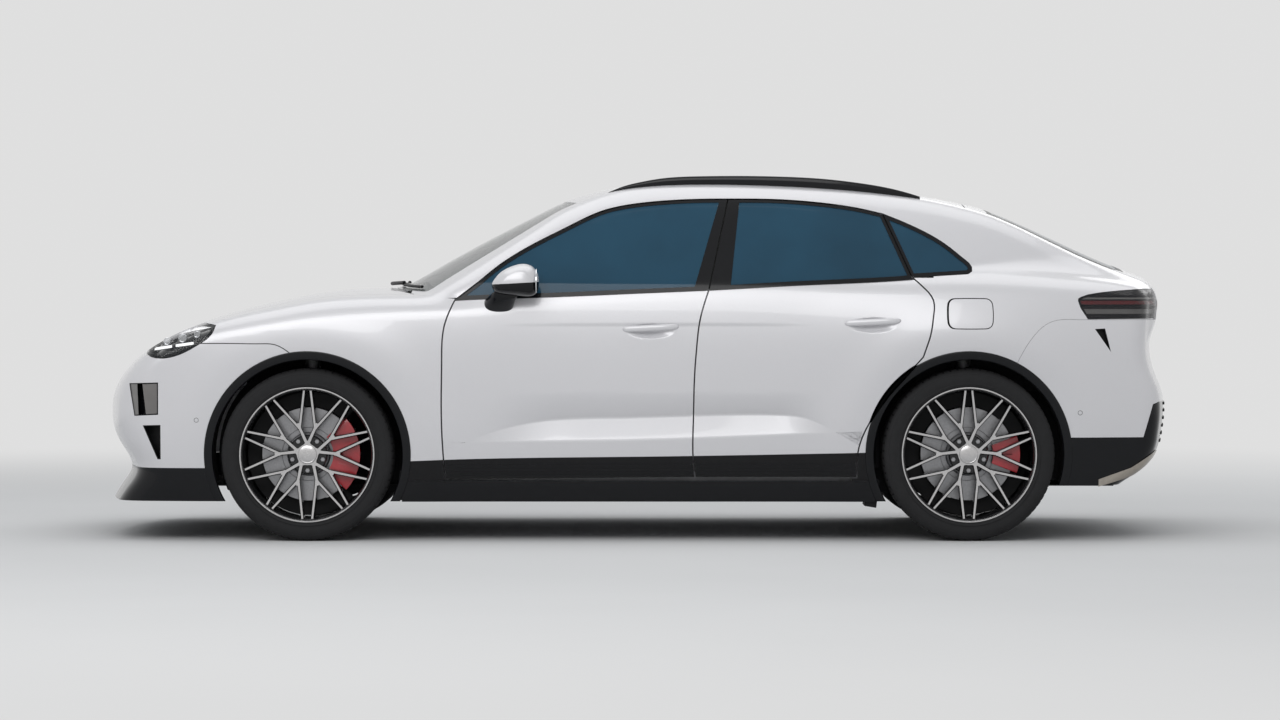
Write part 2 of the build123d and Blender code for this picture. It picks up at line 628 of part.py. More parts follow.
TAILGATE_WIDTH = 1160 * WIDE
with BuildPart() as rear_bumper:
    plan_loft([z * TALL for z in (452, 520, 600, 680, 760, 840, 920, 970)], REAR_PIVOT_X, 88, 272, 0,
              BUMPER_DEPTH, 15)
    trim_side(REAR_BUMPER_LINE)
    trim_side(shifted(TAIL_LIGHT, SEAT_GAP), Mode.SUBTRACT)
    extrude(arch_cut(AXLE_REAR_X, ARCH_RADIUS + SEAT_GAP), amount=FAR, both=True, mode=Mode.SUBTRACT)
    with BuildSketch(Plane.YZ) as tailgate_foot:
        with Locations((0, 1000 * TALL)):
            Rectangle(TAILGATE_WIDTH + PANEL_GAP, 600 * TALL)
    extrude(tailgate_foot.sketch, amount=3000, mode=Mode.SUBTRACT)
write(rear_bumper, "rear_bumper")

# ------------------------------------------------------------------ tailgate and charge doors
REAR_GLASS_HALF = stretch_top((1590, 0), (1590, -470), (1620, -500), (2130, -520), (2150, -480), (2165, 0))
TAILGATE_FOOT = 700 * TALL
with BuildPart() as rear_face:
    back_loft(spread(-590 * WIDE, 590 * WIDE, 9), (1900 * LONG, 900 * TALL), 88, -32, 0, LID_DEPTH)
    with BuildSketch(Plane.YZ) as face_width:
        with Locations((0, TAILGATE_FOOT + PANEL_GAP + FAR / 2)):
            Rectangle(TAILGATE_WIDTH - PANEL_GAP, FAR)
    extrude(face_width.sketch, amount=2 * FAR, mode=Mode.INTERSECT)

with BuildPart() as tailgate:
    top_loft(spread(1440 * LONG, 1920 * LONG, 7), lambda x: 592 * WIDE, 0, LID_DEPTH, 9, 900.0)
    add(rear_face.part)
    trim_top(shifted(whole(TAILGATE_HALF), -PANEL_GAP / 2))
    trim_top(whole(REAR_GLASS_HALF), Mode.SUBTRACT)
write(tailgate, "tailgate")

with BuildPart() as tailgate_glass:
    top_loft(spread(1580 * LONG, 2175 * LONG, 7), lambda x: 560 * WIDE, 2, GLASS, 9, 900.0)
    trim_top(shifted(whole(REAR_GLASS_HALF), -SEAT_GAP))
write(tailgate_glass, "tailgate_glass")

for side, hand in SIDES.items():
    with BuildPart() as charge_door:
        side_loft(spread(1340 * LONG, 1570 * LONG, 4), lambda x: 900, lambda x: 1080, 0, CHARGE_DOOR_THICKNESS, 5)
        trim_side(shifted(CHARGE_DOOR, -MOVE_GAP))
        if hand < 0:
            mirror(about=Plane.XZ, mode=Mode.REPLACE)
    write(charge_door, f"charge_door_{side}")

with BuildPart() as charge_port:
    side_loft(spread(1345 * LONG, 1565 * LONG, 4), lambda x: 905, lambda x: 1075, SIDE_DEPTH + SEAT_GAP, 30, 5)
    trim_side(shifted(CHARGE_DOOR, 6))
    mirror(about=Plane.XZ)
write(charge_port, "charge_ports")

# ------------------------------------------------------------------ lights, trims and cladding
with BuildPart() as headlight:
    turn_loft(spread(-2190 * LONG, -1830 * LONG, 7), (-300 * WIDE, 600 * TALL), 70, 150, 1, 60, 13)
    trim_side(HEADLIGHT)
    trim_top(shifted(whole(HOOD_HALF), PANEL_GAP / 2), Mode.SUBTRACT)
    mirror(about=Plane.XZ)
write(headlight, "headlights")

with BuildPart() as tail_light:
    plan_loft(spread(955 * TALL, 1112 * TALL, 6), REAR_PIVOT_X, 94, 266, 1, 40, 15)
    trim_side(TAIL_LIGHT)
    trim_top(shifted(whole(TAILGATE_HALF), PANEL_GAP / 2), Mode.SUBTRACT)
write(tail_light, "tail_lights")

flares = []
for axle in (AXLE_FRONT_X, AXLE_REAR_X):
    with BuildPart() as flare:
        sections = []
        for x in spread(axle - ARCH_RADIUS - 5, axle + ARCH_RADIUS + 5, 9):
            heights = spread(200, TYRE_RADIUS + ARCH_RADIUS + 12, 9)
            outer = [(-flank(x, z) - TRIM_PROUD, z) for z in heights]
            inner = [(-LINER_OUTER_Y * WIDE, z) for z in heights]
            sections.append(strip(Plane.YZ.offset(x), outer, inner))
        loft(sections=sections)
        extrude(arch_cut(axle, ARCH_RADIUS), amount=FAR, both=True, mode=Mode.INTERSECT)
        extrude(arch_cut(axle, ARCH_OPENING), amount=FAR, both=True, mode=Mode.SUBTRACT)
        trim_side(FRONT_DOOR if axle == AXLE_FRONT_X else shifted(REAR_DOOR, PANEL_GAP), Mode.SUBTRACT)
    flares.append(flare.part)
with BuildPart() as arch_trim:
    add(flares)
    mirror(about=Plane.XZ)
write(arch_trim, "arch_trims")

with BuildPart() as liner:
    for axle in (AXLE_FRONT_X, AXLE_REAR_X):
        with BuildSketch(Plane.XZ.offset(LINER_INNER_Y)) as hoop:
            with Locations((axle, TYRE_RADIUS)):
                Circle(LINER_RADIUS + LINER_WALL)
                Circle(LINER_RADIUS, mode=Mode.SUBTRACT)
            with Locations((axle, 0)):
                Rectangle(4 * LINER_RADIUS, 2 * 250, mode=Mode.SUBTRACT)
        extrude(hoop.sketch, amount=LINER_OUTER_Y * WIDE - LINER_INNER_Y - SEAT_GAP)
    mirror(about=Plane.XZ)
write(liner, "wheel_liners")

SILL_LOW = GROUND_GAP + 2
JACK_BOTTOM = 164.0
JACK_PAD = 56.0
JACK_Y = 867.0 * WIDE
JACK_POINTS = (-800.0 * LONG, 820.0 * LONG)
with BuildPart() as sill:
    sheet_loft(spread(AXLE_FRONT_X + ARCH_RADIUS - 30, AXLE_REAR_X - ARCH_RADIUS + 30, 7), flank, lambda x: SILL_LOW,
               lambda x: 267 * TALL - PANEL_GAP / 2, 2, SILL_INSET - SEAT_GAP - 2)
    for axle in (AXLE_FRONT_X, AXLE_REAR_X):
        extrude(arch_cut(axle, ARCH_RADIUS + SEAT_GAP), amount=FAR, both=True, mode=Mode.SUBTRACT)
    for x in JACK_POINTS:
        box_at(x - JACK_PAD / 2, x + JACK_PAD / 2, JACK_Y - JACK_PAD / 2, JACK_Y + JACK_PAD / 2,
               JACK_BOTTOM, SILL_LOW + SHEET)
    mirror(about=Plane.XZ)
    add(body_frame.part, mode=Mode.SUBTRACT)
write(sill, "sill_covers")

# ------------------------------------------------------------------ floor and power train
FLOOR_HALF = (waist(0) - SILL_INSET - SILL_DEPTH - 26) * WIDE - SEAT_GAP
BOOT_HALF = LINER_INNER_Y - SEAT_GAP
BOOT_WALL_TOP = 960 * TALL
BOOT_REAR = 2250 * LONG
FLOOR_BOTTOM = FLOOR_TOP - FLOOR_THICKNESS
with BuildPart() as floor_pan:
    box_at(BULKHEAD_X, AXLE_REAR_X - ARCH_RADIUS, -FLOOR_HALF, FLOOR_HALF, FLOOR_BOTTOM, FLOOR_TOP)
    box_at(BULKHEAD_X, STEP_X, -BOOT_HALF, BOOT_HALF, FLOOR_BOTTOM, FLOOR_TOP)
    box_at(BULKHEAD_X - BULKHEAD, BULKHEAD_X, -FLOOR_HALF + 60, FLOOR_HALF - 60, FLOOR_BOTTOM, 960 * TALL)
    box_at(STEP_X, STEP_X + BULKHEAD, -BOOT_HALF, BOOT_HALF, FLOOR_BOTTOM, BOOT_FLOOR_TOP)
    box_at(STEP_X, BOOT_REAR, -BOOT_HALF, BOOT_HALF, BOOT_SHEET_BOTTOM, BOOT_FLOOR_TOP)
    for inner_y, outer_y in ((-BOOT_HALF, -BOOT_HALF + SHEET), (BOOT_HALF - SHEET, BOOT_HALF)):
        box_at(STEP_X + 180, 2180 * LONG, inner_y, outer_y, BOOT_SHEET_BOTTOM, BOOT_WALL_TOP)
write(floor_pan, "floor_pan")

BATTERY_TOP = FLOOR_TOP - FLOOR_THICKNESS - SEAT_GAP
with BuildPart() as battery:
    box_at(-BATTERY_LENGTH / 2, BATTERY_LENGTH / 2, -BATTERY_WIDTH / 2, BATTERY_WIDTH / 2,
           BATTERY_TOP - BATTERY_HEIGHT, BATTERY_TOP)
write(battery, "battery_pack")

MOTOR_HALF = 240.0
MOTOR_RADIUS = 130.0
SUBFRAME_BOTTOM = 228.0
SUBFRAME_TOP = 282.0
with BuildPart() as drive_motors:
    for axle, inner in ((AXLE_FRONT_X, 1), (AXLE_REAR_X, -1)):
        with BuildSketch(Plane.XZ.offset(-MOTOR_HALF)) as drum:
            with Locations((axle + inner * 60, TYRE_RADIUS + 20)):
                Circle(MOTOR_RADIUS)
            with Locations((axle, TYRE_RADIUS)):
                Circle(70)
            with Locations((axle + inner * 160, SUBFRAME_TOP + SEAT_GAP + 35)):
                Rectangle(50, 70)
        extrude(drum.sketch, amount=2 * MOTOR_HALF)
write(drive_motors, "drive_motors")

TRAY_SHEET = 6.0
TRAY_HALF = 520.0 * WIDE
BATTERY_END = BATTERY_LENGTH / 2 + 5
with BuildPart() as undertrays:
    for x0, x1 in ((-2245 * LONG, -BATTERY_END), (BATTERY_END, 2130 * LONG)):
        box_at(x0, x1, -TRAY_HALF, TRAY_HALF, SUBFRAME_BOTTOM - SEAT_GAP - TRAY_SHEET, SUBFRAME_BOTTOM - SEAT_GAP)
write(undertrays, "undertrays")

with BuildPart() as splitter:
    plan_loft([z * TALL for z in (172, 200, 240, 280, 317)], FRONT_PIVOT_X, -84, 84, 0, BUMPER_DEPTH, 15)
    trim_side(FRONT_BUMPER_LINE)
    extrude(arch_cut(AXLE_FRONT_X, ARCH_RADIUS + SEAT_GAP), amount=FAR, both=True, mode=Mode.SUBTRACT)
write(splitter, "front_splitter")

with BuildPart() as diffuser:
    plan_loft([z * TALL for z in (242, 300, 373, 420, 451)], REAR_PIVOT_X, 88, 272, 0, BUMPER_DEPTH, 15)
    trim_side(REAR_BUMPER_LINE)
    extrude(arch_cut(AXLE_REAR_X, ARCH_RADIUS + SEAT_GAP), amount=FAR, both=True, mode=Mode.SUBTRACT)
write(diffuser, "rear_diffuser")

with BuildPart() as bumper_lamp:
    plan_loft(spread(540 * TALL, 700 * TALL, 5), FRONT_PIVOT_X, -84, 84, 1, 30, 15)
    trim_side(BUMPER_LAMP)
write(bumper_lamp, "bumper_lamps")

COWL_INSET = 40 - SHEET - SEAT_GAP
with BuildPart() as cowl:
    top_loft(spread(-1150 * LONG, -960 * LONG, 6), lambda x: 735 * WIDE, COWL_INSET, SHEET, 9)
    trim_top(stretch_top((-1200, 0), (-1190, -330), (-1130, -560), (-1060, -735), (-966, -735), (-966, 735),
                         (-1060, 735), (-1130, 560), (-1190, 330)))
    add(body_frame.part, mode=Mode.SUBTRACT)
write(cowl, "cowl_panel")

ROOF_RAIL_INNER_Y = 584 * WIDE
RAIL_FOOT_GAP = 2.4
ROOF_RAIL_OUTER_Y = 612 * WIDE
ROOF_RAIL_TOP = stretch_side((-134, 1530), (-77, 1554), (12, 1578), (102, 1594), (280, 1605), (458, 1606), (636, 1603),
                             (814, 1594), (992, 1574), (1170, 1540), (1264, 1512))
rail_foot = []
for x in spread(1250 * LONG, -110 * LONG, 17):
    foot = reach(lambda z: body(x, ROOF_RAIL_INNER_Y, z), 900, FAR * 1.2)
    rail_foot.append((x, foot + RAIL_FOOT_GAP))
with BuildPart() as roof_rail:
    extrude(outline(Plane.XZ.offset(ROOF_RAIL_INNER_Y), ROOF_RAIL_TOP + rail_foot),
            amount=ROOF_RAIL_OUTER_Y - ROOF_RAIL_INNER_Y)
    mirror(about=Plane.XZ)
write(roof_rail, "roof_rails")

# ------------------------------------------------------------------ cabin
DASH_FRONT = -960 + SEAT_GAP
DASH = stretch_side((DASH_FRONT, 955), (-900, 1015), (-760, 1045), (-640, 1030), (-590, 985), (-585, 900),
                    (-640, 800), (-700, 660), (DASH_FRONT, 640))
DASH_HALF = 700 * WIDE
with BuildPart() as dashboard:
    extrude(outline(Plane.XZ.offset(-DASH_HALF), DASH), amount=2 * DASH_HALF)
write(dashboard, "dashboard")

CONSOLE_HALF = 110 * WIDE
CONSOLE = [(-690 * LONG, FLOOR_TOP + SEAT_GAP), (-690 * LONG, 655 * TALL), (-610 * LONG, 740 * TALL),
           (-150 * LONG, 690 * TALL), (330 * LONG, 700 * TALL), (360 * LONG, 620 * TALL),
           (350 * LONG, FLOOR_TOP + SEAT_GAP)]
with BuildPart() as console:
    extrude(outline(Plane.XZ.offset(-CONSOLE_HALF), CONSOLE), amount=2 * CONSOLE_HALF)
    add(dashboard.part, mode=Mode.SUBTRACT)
write(console, "center_console")


def seat_side(x, z, back):
    """A seat seen from the side: cushion, back and head rest over a foot on the floor."""
    return [(x + 60, FLOOR_TOP + SEAT_GAP), (x + 60, z - 150), (x, z - 120), (x - 10, z - 30), (x + 60, z),
            (x + 420, z - 40), (x + 440 + back * 0.16, z + 280), (x + 470 + back * 0.26, z + back),
            (x + 462 + back * 0.27, z + back + 30), (x + 465 + back * 0.27, z + back + 190),
            (x + 520 + back * 0.28, z + back + 205), (x + 570 + back * 0.28, z + back + 180),
            (x + 560 + back * 0.27, z + back - 10), (x + 590, z + 60), (x + 560, z - 130), (x + 480, z - 150),
            (x + 480, FLOOR_TOP + SEAT_GAP)]


FRONT_SEAT_X = -370 * LONG
REAR_SEAT_X = 590 * LONG
FRONT_CUSHION_Z = 640.0
REAR_CUSHION_Z = 665.0
FRONT_BACK = 540.0
REAR_BACK = 500.0
SEAT_HALF = 255.0
DRIVER_Y = 375 * WIDE
with BuildPart() as front_seats:
    front_seat_side = seat_side(FRONT_SEAT_X, FRONT_CUSHION_Z, FRONT_BACK)
    extrude(outline(Plane.XZ.offset(DRIVER_Y - SEAT_HALF), front_seat_side), amount=2 * SEAT_HALF)
    mirror(about=Plane.XZ)
write(front_seats, "front_seats")

REAR_SEAT_HALF = 640 * WIDE
REAR_SEAT_TOP = REAR_CUSHION_Z + REAR_BACK + 110
BENCH = [(x, min(z, REAR_SEAT_TOP)) for x, z in seat_side(REAR_SEAT_X, REAR_CUSHION_Z, REAR_BACK)[:-3]]
BENCH += [(REAR_SEAT_X + 560, BOOT_FLOOR_TOP + SEAT_GAP), (STEP_X - SEAT_GAP, BOOT_FLOOR_TOP + SEAT_GAP),
          (STEP_X - SEAT_GAP, FLOOR_TOP + SEAT_GAP)]
with BuildPart() as rear_seat:
    extrude(outline(Plane.XZ.offset(-REAR_SEAT_HALF), BENCH), amount=2 * REAR_SEAT_HALF)
    for y0, y1 in ((-FAR, -BOOT_HALF), (BOOT_HALF, FAR)):
        box_at(AXLE_REAR_X - LINER_RADIUS - MOVE_GAP * 2, FAR, y0, y1, 0, TYRE_RADIUS + LINER_RADIUS + 12, Mode.SUBTRACT)
write(rear_seat, "rear_seat")

STEERING_HUB = (-405 * LONG, -DRIVER_Y, 965 * TALL)
COLUMN_TILT = 24.0
STEERING_RADIUS = 186.0
STEERING_GRIP = 15.0
COLUMN_AXIS = Vector(-math.cos(math.radians(COLUMN_TILT)), 0, -math.sin(math.radians(COLUMN_TILT)))
STEERING_PLANE = Plane(origin=STEERING_HUB, x_dir=(0, 1, 0), z_dir=-COLUMN_AXIS)
with BuildPart() as steering_wheel:
    with BuildSketch(Plane(origin=STEERING_HUB, x_dir=(0, 1, 0), z_dir=STEERING_PLANE.y_dir)) as grip:
        with Locations((STEERING_RADIUS, 0)):
            Circle(STEERING_GRIP)
    revolve(grip.sketch, axis=Axis(STEERING_HUB, -COLUMN_AXIS))
    with BuildSketch(STEERING_PLANE.offset(-26)) as spokes:
        Circle(62)
        with Locations((0, -STEERING_RADIUS / 2)):
            Rectangle(44, STEERING_RADIUS)
        Rectangle(2 * STEERING_RADIUS, 40)
    extrude(spokes.sketch, amount=32)
write(steering_wheel, "steering_wheel")

COLUMN_LENGTH = 150.0
with BuildPart() as column:
    with BuildSketch(STEERING_PLANE.offset(-26 - MOVE_GAP)) as column_round:
        Circle(46)
    extrude(column_round.sketch, amount=-COLUMN_LENGTH)
    add(dashboard.part, mode=Mode.SUBTRACT)
write(column, "steering_column")

TRAY_INSET = 96.0
TRAY_THICKNESS = 6.0
TUB_FLOOR = BOOT_SHEET_BOTTOM
TUB_BRIM = 920 * TALL
TUB_HALF = 360 * WIDE
TRAY_PLAN = stretch_top((-2040, -380), (-1830, -420), (-1800, -690), (-1150, -740), (-1150, 740), (-1800, 690),
                        (-1830, 420), (-2040, 380))
with BuildPart() as tray:
    sections = []
    for x in spread(-2060 * LONG, -1140 * LONG, 6):
        z = reach(lambda h: body(x, 0, h), 500, FAR) - TRAY_INSET
        with BuildSketch(Plane.YZ.offset(x)) as slab:
            with Locations((0, z)):
                Rectangle(1500 * WIDE, TRAY_THICKNESS)
        sections.append(slab.sketch)
    loft(sections=sections)
    trim_top(TRAY_PLAN)
    box_at(-1760 * LONG, -1310 * LONG, -TUB_HALF, TUB_HALF, TUB_FLOOR, TUB_BRIM)
    box_at(-1760 * LONG + SHEET, -1310 * LONG - SHEET, -TUB_HALF + SHEET, TUB_HALF - SHEET, TUB_FLOOR + SHEET,
           1100 * TALL, Mode.SUBTRACT)
write(tray, "front_trunk")

# ------------------------------------------------------------------ suspension and wheels
WHEELS = {"front": (AXLE_FRONT_X, FRONT_TRACK / 2, TYRE_FRONT_WIDTH),
          "rear": (AXLE_REAR_X, REAR_TRACK / 2, TYRE_REAR_WIDTH)}
KNUCKLE_IN = 96.0
KNUCKLE_OUT = 62.0
KNUCKLE_DOWN = 124.7
KNUCKLE_UP = 172.0
ARM_THICKNESS = 24.0
SPINDLE_RADIUS = 24.0
CALIPER_INNER = 110.0
CALIPER_OUTER = 228.0
CALIPER_GAP = 6.0
DISC_OUT = 10.0
SPOKE_BACK = 57.0
HUB_Z = TYRE_RADIUS


def round_at(x, y_from, y_to, radius, mode=Mode.ADD, z=HUB_Z):
    """A cylinder across the car on an axle's line, between two distances left of the middle."""
    with BuildSketch(Plane.XZ.offset(y_from)) as disc:
        with Locations((x, z)):
            Circle(radius)
    extrude(disc.sketch, amount=y_to - y_from, mode=mode)


def plate_at(points, y_from, y_to, mode=Mode.ADD):
    extrude(outline(Plane.XZ.offset(y_from), points), amount=y_to - y_from, mode=mode)


def slab_at(points, z_from, z_to):
    extrude(outline(Plane.XY.offset(z_from), points), amount=z_to - z_from)


def polar(x, radius, degrees):
    return (x + radius * math.cos(math.radians(degrees)), HUB_Z + radius * math.sin(math.radians(degrees)))


def upright(x, y, sweep):
    """The upright that holds a wheel's bearing, on the left."""
    plate_at([(x - 40, HUB_Z - KNUCKLE_DOWN), (x + 40, HUB_Z - KNUCKLE_DOWN), polar(x, 150, -sweep),
              polar(x, 150, sweep), (x + 36, HUB_Z + KNUCKLE_UP), (x - 36, HUB_Z + KNUCKLE_UP), (x - 80, HUB_Z)],
             y - KNUCKLE_IN, y - KNUCKLE_OUT)
    round_at(x, y - KNUCKLE_OUT, y + DISC_OUT + 26, SPINDLE_RADIUS)


def caliper(x, y, sweep):
    """A brake caliper straddling its disc, on the left."""
    arc = [polar(x, CALIPER_OUTER, a) for a in spread(-sweep, sweep, 7)]
    foot = [polar(x, CALIPER_INNER, a) for a in spread(sweep, -sweep, 5)]
    plate_at(arc + foot, y - KNUCKLE_OUT, y + SPOKE_BACK - CALIPER_GAP)
    round_at(x, y + DISC_OUT - DISC_THICKNESS - CALIPER_GAP, y + DISC_OUT + CALIPER_GAP, DISC_RADIUS + CALIPER_GAP,
             Mode.SUBTRACT)


FRONT_SWEEP = 42
REAR_SWEEP = 20
with BuildPart() as front_caliper:
    caliper(AXLE_FRONT_X, FRONT_TRACK / 2, FRONT_SWEEP)
with BuildPart() as rear_caliper:
    caliper(AXLE_REAR_X, REAR_TRACK / 2, REAR_SWEEP)

for side, hand in SIDES.items():
    with BuildPart() as front_knuckle:
        upright(AXLE_FRONT_X, FRONT_TRACK / 2, FRONT_SWEEP)
        add(front_caliper.part)
        if hand < 0:
            mirror(about=Plane.XZ, mode=Mode.REPLACE)
    write(front_knuckle, f"front_knuckle_{side}")
with BuildPart() as rear_knuckles:
    upright(AXLE_REAR_X, REAR_TRACK / 2, REAR_SWEEP)
    add(rear_caliper.part)
    mirror(about=Plane.XZ)
write(rear_knuckles, "rear_knuckles")

SUBFRAME_HALF = 380.0
ARM_LOW = HUB_Z - KNUCKLE_DOWN - SEAT_GAP
ARM_HIGH = HUB_Z + KNUCKLE_UP + SEAT_GAP
DAMPER_RADIUS = 34.0
for end, (x, y, width) in WHEELS.items():
    with BuildPart() as links:
        for bottom, reach_x in ((ARM_LOW - ARM_THICKNESS, 150), (ARM_HIGH, 90)):
            slab_at([(x - 28, -y + KNUCKLE_OUT), (x + 28, -y + KNUCKLE_OUT), (x + 38, -500),
                     (x + reach_x, -SUBFRAME_HALF), (x + reach_x - 50, -SUBFRAME_HALF), (x, -470),
                     (x - reach_x + 50, -SUBFRAME_HALF), (x - reach_x, -SUBFRAME_HALF), (x - 38, -500)],
                    bottom, bottom + ARM_THICKNESS)
        box_at(x - 190, x + 190, -SUBFRAME_HALF, -SUBFRAME_HALF + 60, SUBFRAME_BOTTOM, SUBFRAME_TOP)
        box_at(x - 110, x + 110, -SUBFRAME_HALF, -SUBFRAME_HALF + 30, SUBFRAME_TOP, RAIL_BOTTOM - SEAT_GAP)
        box_at(x - 190, x - 130, -SUBFRAME_HALF, 0, SUBFRAME_BOTTOM, SUBFRAME_TOP)
        box_at(x + 130, x + 190, -SUBFRAME_HALF, 0, SUBFRAME_BOTTOM, SUBFRAME_TOP)
        with BuildSketch(Plane.XY.offset(ARM_LOW)) as damper:
            with Locations((x, -y + KNUCKLE_IN + 110)):
                Circle(DAMPER_RADIUS)
        extrude(damper.sketch, amount=HUB_Z + LINER_RADIUS - 12 - ARM_LOW)
        mirror(about=Plane.XZ)
    write(links, f"{end}_suspension")


def tyre(x, y, width):
    half = width / 2
    bead = half - 14.3
    with BuildSketch(Plane.YZ.offset(x)) as half_section:
        with BuildLine():
            Polyline((-y - bead, HUB_Z + RIM_RADIUS), (-y - bead, HUB_Z + RIM_RADIUS + 8),
                     (-y - half + 2, HUB_Z + RIM_RADIUS + 20), (-y - half, HUB_Z + RIM_RADIUS + 44),
                     (-y - half + 8, HUB_Z + TYRE_RADIUS - 16), (-y - half + 28, HUB_Z + TYRE_RADIUS - 3),
                     (-y - half + 60, HUB_Z + TYRE_RADIUS), (-y + half - 60, HUB_Z + TYRE_RADIUS),
                     (-y + half - 28, HUB_Z + TYRE_RADIUS - 3), (-y + half - 8, HUB_Z + TYRE_RADIUS - 16),
                     (-y + half, HUB_Z + RIM_RADIUS + 44), (-y + half - 2, HUB_Z + RIM_RADIUS + 20),
                     (-y + bead, HUB_Z + RIM_RADIUS + 8), (-y + bead, HUB_Z + RIM_RADIUS), close=True)
        make_face()
    revolve(half_section.sketch, axis=Axis((x, 0, HUB_Z), (0, 1, 0)))


SPOKE_NODE_RADIUS = 126.0
NARROW_PAIR = 2.9
WIDE_PAIR = 4.3


def bar(x, start, stop, start_width, stop_width):
    """A tapered strip between two (radius, degrees) places on the wheel."""
    ax, az = polar(x, *start)
    bx, bz = polar(x, *stop)
    run = math.hypot(bx - ax, bz - az)
    nx, nz = -(bz - az) / run, (bx - ax) / run
    a, b = start_width / 2, stop_width / 2
    return [(ax + nx * a, az + nz * a), (bx + nx * b, bz + nz * b), (bx - nx * b, bz - nz * b), (ax - nx * a, az - nz * a)]


def rim(x, y, width):
    half = width / 2
    lip = half - 14
    face = y + lip - SPOKE_INSET
    wall = RIM_RADIUS - SEAT_GAP
    with BuildSketch(Plane.YZ.offset(x)) as barrel:
        with BuildLine():
            Polyline((-y - lip - 8, HUB_Z + wall - RIM_WALL), (-y - lip - 8, HUB_Z + wall + 6), (-y - lip, HUB_Z + wall + 6),
                     (-y - lip, HUB_Z + wall), (-y + lip, HUB_Z + wall), (-y + lip, HUB_Z + wall + 6),
                     (-y + lip + 8, HUB_Z + wall + 6), (-y + lip + 8, HUB_Z + wall - RIM_WALL), close=True)
        make_face()
    revolve(barrel.sketch, axis=Axis((x, 0, HUB_Z), (0, 1, 0)))
    with BuildSketch(Plane.XZ.offset(face - SPOKE_DEPTH)) as star:
        with Locations((x, HUB_Z)):
            Circle(HUB_RADIUS)
        for k in range(5):
            arm = 90 + 72 * k
            add(outline(Plane.XZ, bar(x, (30, arm), (92, arm), 60, 44)))
            for turn in (-18, 18):
                add(outline(Plane.XZ, bar(x, (62, arm + turn * 0.3), (SPOKE_NODE_RADIUS + 8, arm + turn), 30, 22)))
                add(outline(Plane.XZ, bar(x, (SPOKE_NODE_RADIUS - 4, arm + turn),
                                          (wall - RIM_WALL + 4, arm + math.copysign(NARROW_PAIR, turn)), 20, 15)))
                add(outline(Plane.XZ, bar(x, (SPOKE_NODE_RADIUS - 4, arm + turn),
                                          (wall - RIM_WALL + 4, arm + 2 * turn - math.copysign(WIDE_PAIR, turn)),
                                          20, 15)))
    extrude(star.sketch, amount=SPOKE_DEPTH)
    round_at(x, y + DISC_OUT - DISC_THICKNESS - 14, face - SPOKE_DEPTH, HUB_RADIUS + 14)
    round_at(x, y + DISC_OUT - DISC_THICKNESS, y + DISC_OUT, DISC_RADIUS)
    round_at(x, y - KNUCKLE_OUT, y + DISC_OUT + 26 + MOVE_GAP, SPINDLE_RADIUS + SEAT_GAP, Mode.SUBTRACT)


for end, (x, y, width) in WHEELS.items():
    for side, hand in SIDES.items():
        with BuildPart() as tyre_part:
            tyre(x, y, width)
            if hand < 0:
                mirror(about=Plane.XZ, mode=Mode.REPLACE)
        write(tyre_part, f"{end}_tyre_{side}")
        with BuildPart() as rim_part:
            rim(x, y, width)
            if hand < 0:
                mirror(about=Plane.XZ, mode=Mode.REPLACE)
        write(rim_part, f"{end}_rim_{side}")

# ------------------------------------------------------------------ mirrors
with BuildPart() as door_room:
    sheet_loft(spread(-720 * LONG, -460 * LONG, 5), lambda x, z: reach(lambda y: body(x, y, z), 0, FAR),
               lambda x: 940, lambda x: 1110, -SEAT_GAP, 150)

MIRROR_INNER = stretch_side((-632, 1075), (-640, 1120), (-600, 1200), (-440, 1218), (-418, 1200), (-418, 1085),
                            (-480, 1066))
MIRROR_OUTER = stretch_side((-600, 1085), (-606, 1120), (-570, 1170), (-450, 1190), (-430, 1178), (-430, 1105),
                            (-480, 1085))
MIRROR_FOOT = stretch_side((-672, 1000), (-672, 1050), (-560, 1050), (-540, 1000))
MIRROR_NECK = stretch_side((-620, 1070), (-620, 1100), (-520, 1100), (-520, 1070))
for side, hand in SIDES.items():
    with BuildPart() as mirror_part:
        loft(sections=[outline(Plane.XZ.offset(955 * WIDE), MIRROR_INNER),
                       outline(Plane.XZ.offset(1072 * WIDE), MIRROR_OUTER)])
        loft(sections=[outline(Plane.XZ.offset(900 * WIDE), MIRROR_FOOT),
                       outline(Plane.XZ.offset(990 * WIDE), MIRROR_NECK)])
        add(door_room.part, mode=Mode.SUBTRACT)
        if hand < 0:
            mirror(about=Plane.XZ, mode=Mode.REPLACE)
    write(mirror_part, f"mirror_{side}")
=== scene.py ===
import bpy
import bmesh
import math
import numpy as np
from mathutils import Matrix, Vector


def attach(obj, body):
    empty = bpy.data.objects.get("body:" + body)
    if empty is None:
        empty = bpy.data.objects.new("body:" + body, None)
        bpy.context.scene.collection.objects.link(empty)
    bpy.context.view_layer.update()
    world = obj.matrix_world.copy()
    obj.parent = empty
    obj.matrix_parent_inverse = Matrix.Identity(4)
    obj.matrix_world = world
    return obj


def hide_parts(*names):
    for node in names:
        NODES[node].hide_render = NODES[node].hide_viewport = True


# An electric sport utility vehicle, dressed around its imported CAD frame.
# Lengths are in millimetres and are turned into metres where a mesh is made.
# The nose points along -X, the left side along -Y, Z is up.

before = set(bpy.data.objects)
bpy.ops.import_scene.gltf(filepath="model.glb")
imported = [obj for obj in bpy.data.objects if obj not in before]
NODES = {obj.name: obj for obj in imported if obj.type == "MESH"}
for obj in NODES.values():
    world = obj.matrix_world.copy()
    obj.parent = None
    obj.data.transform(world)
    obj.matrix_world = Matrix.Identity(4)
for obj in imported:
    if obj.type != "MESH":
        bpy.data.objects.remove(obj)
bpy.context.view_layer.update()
MM = 0.001
SIDES = {"left": 1, "right": -1}
scene = bpy.context.scene

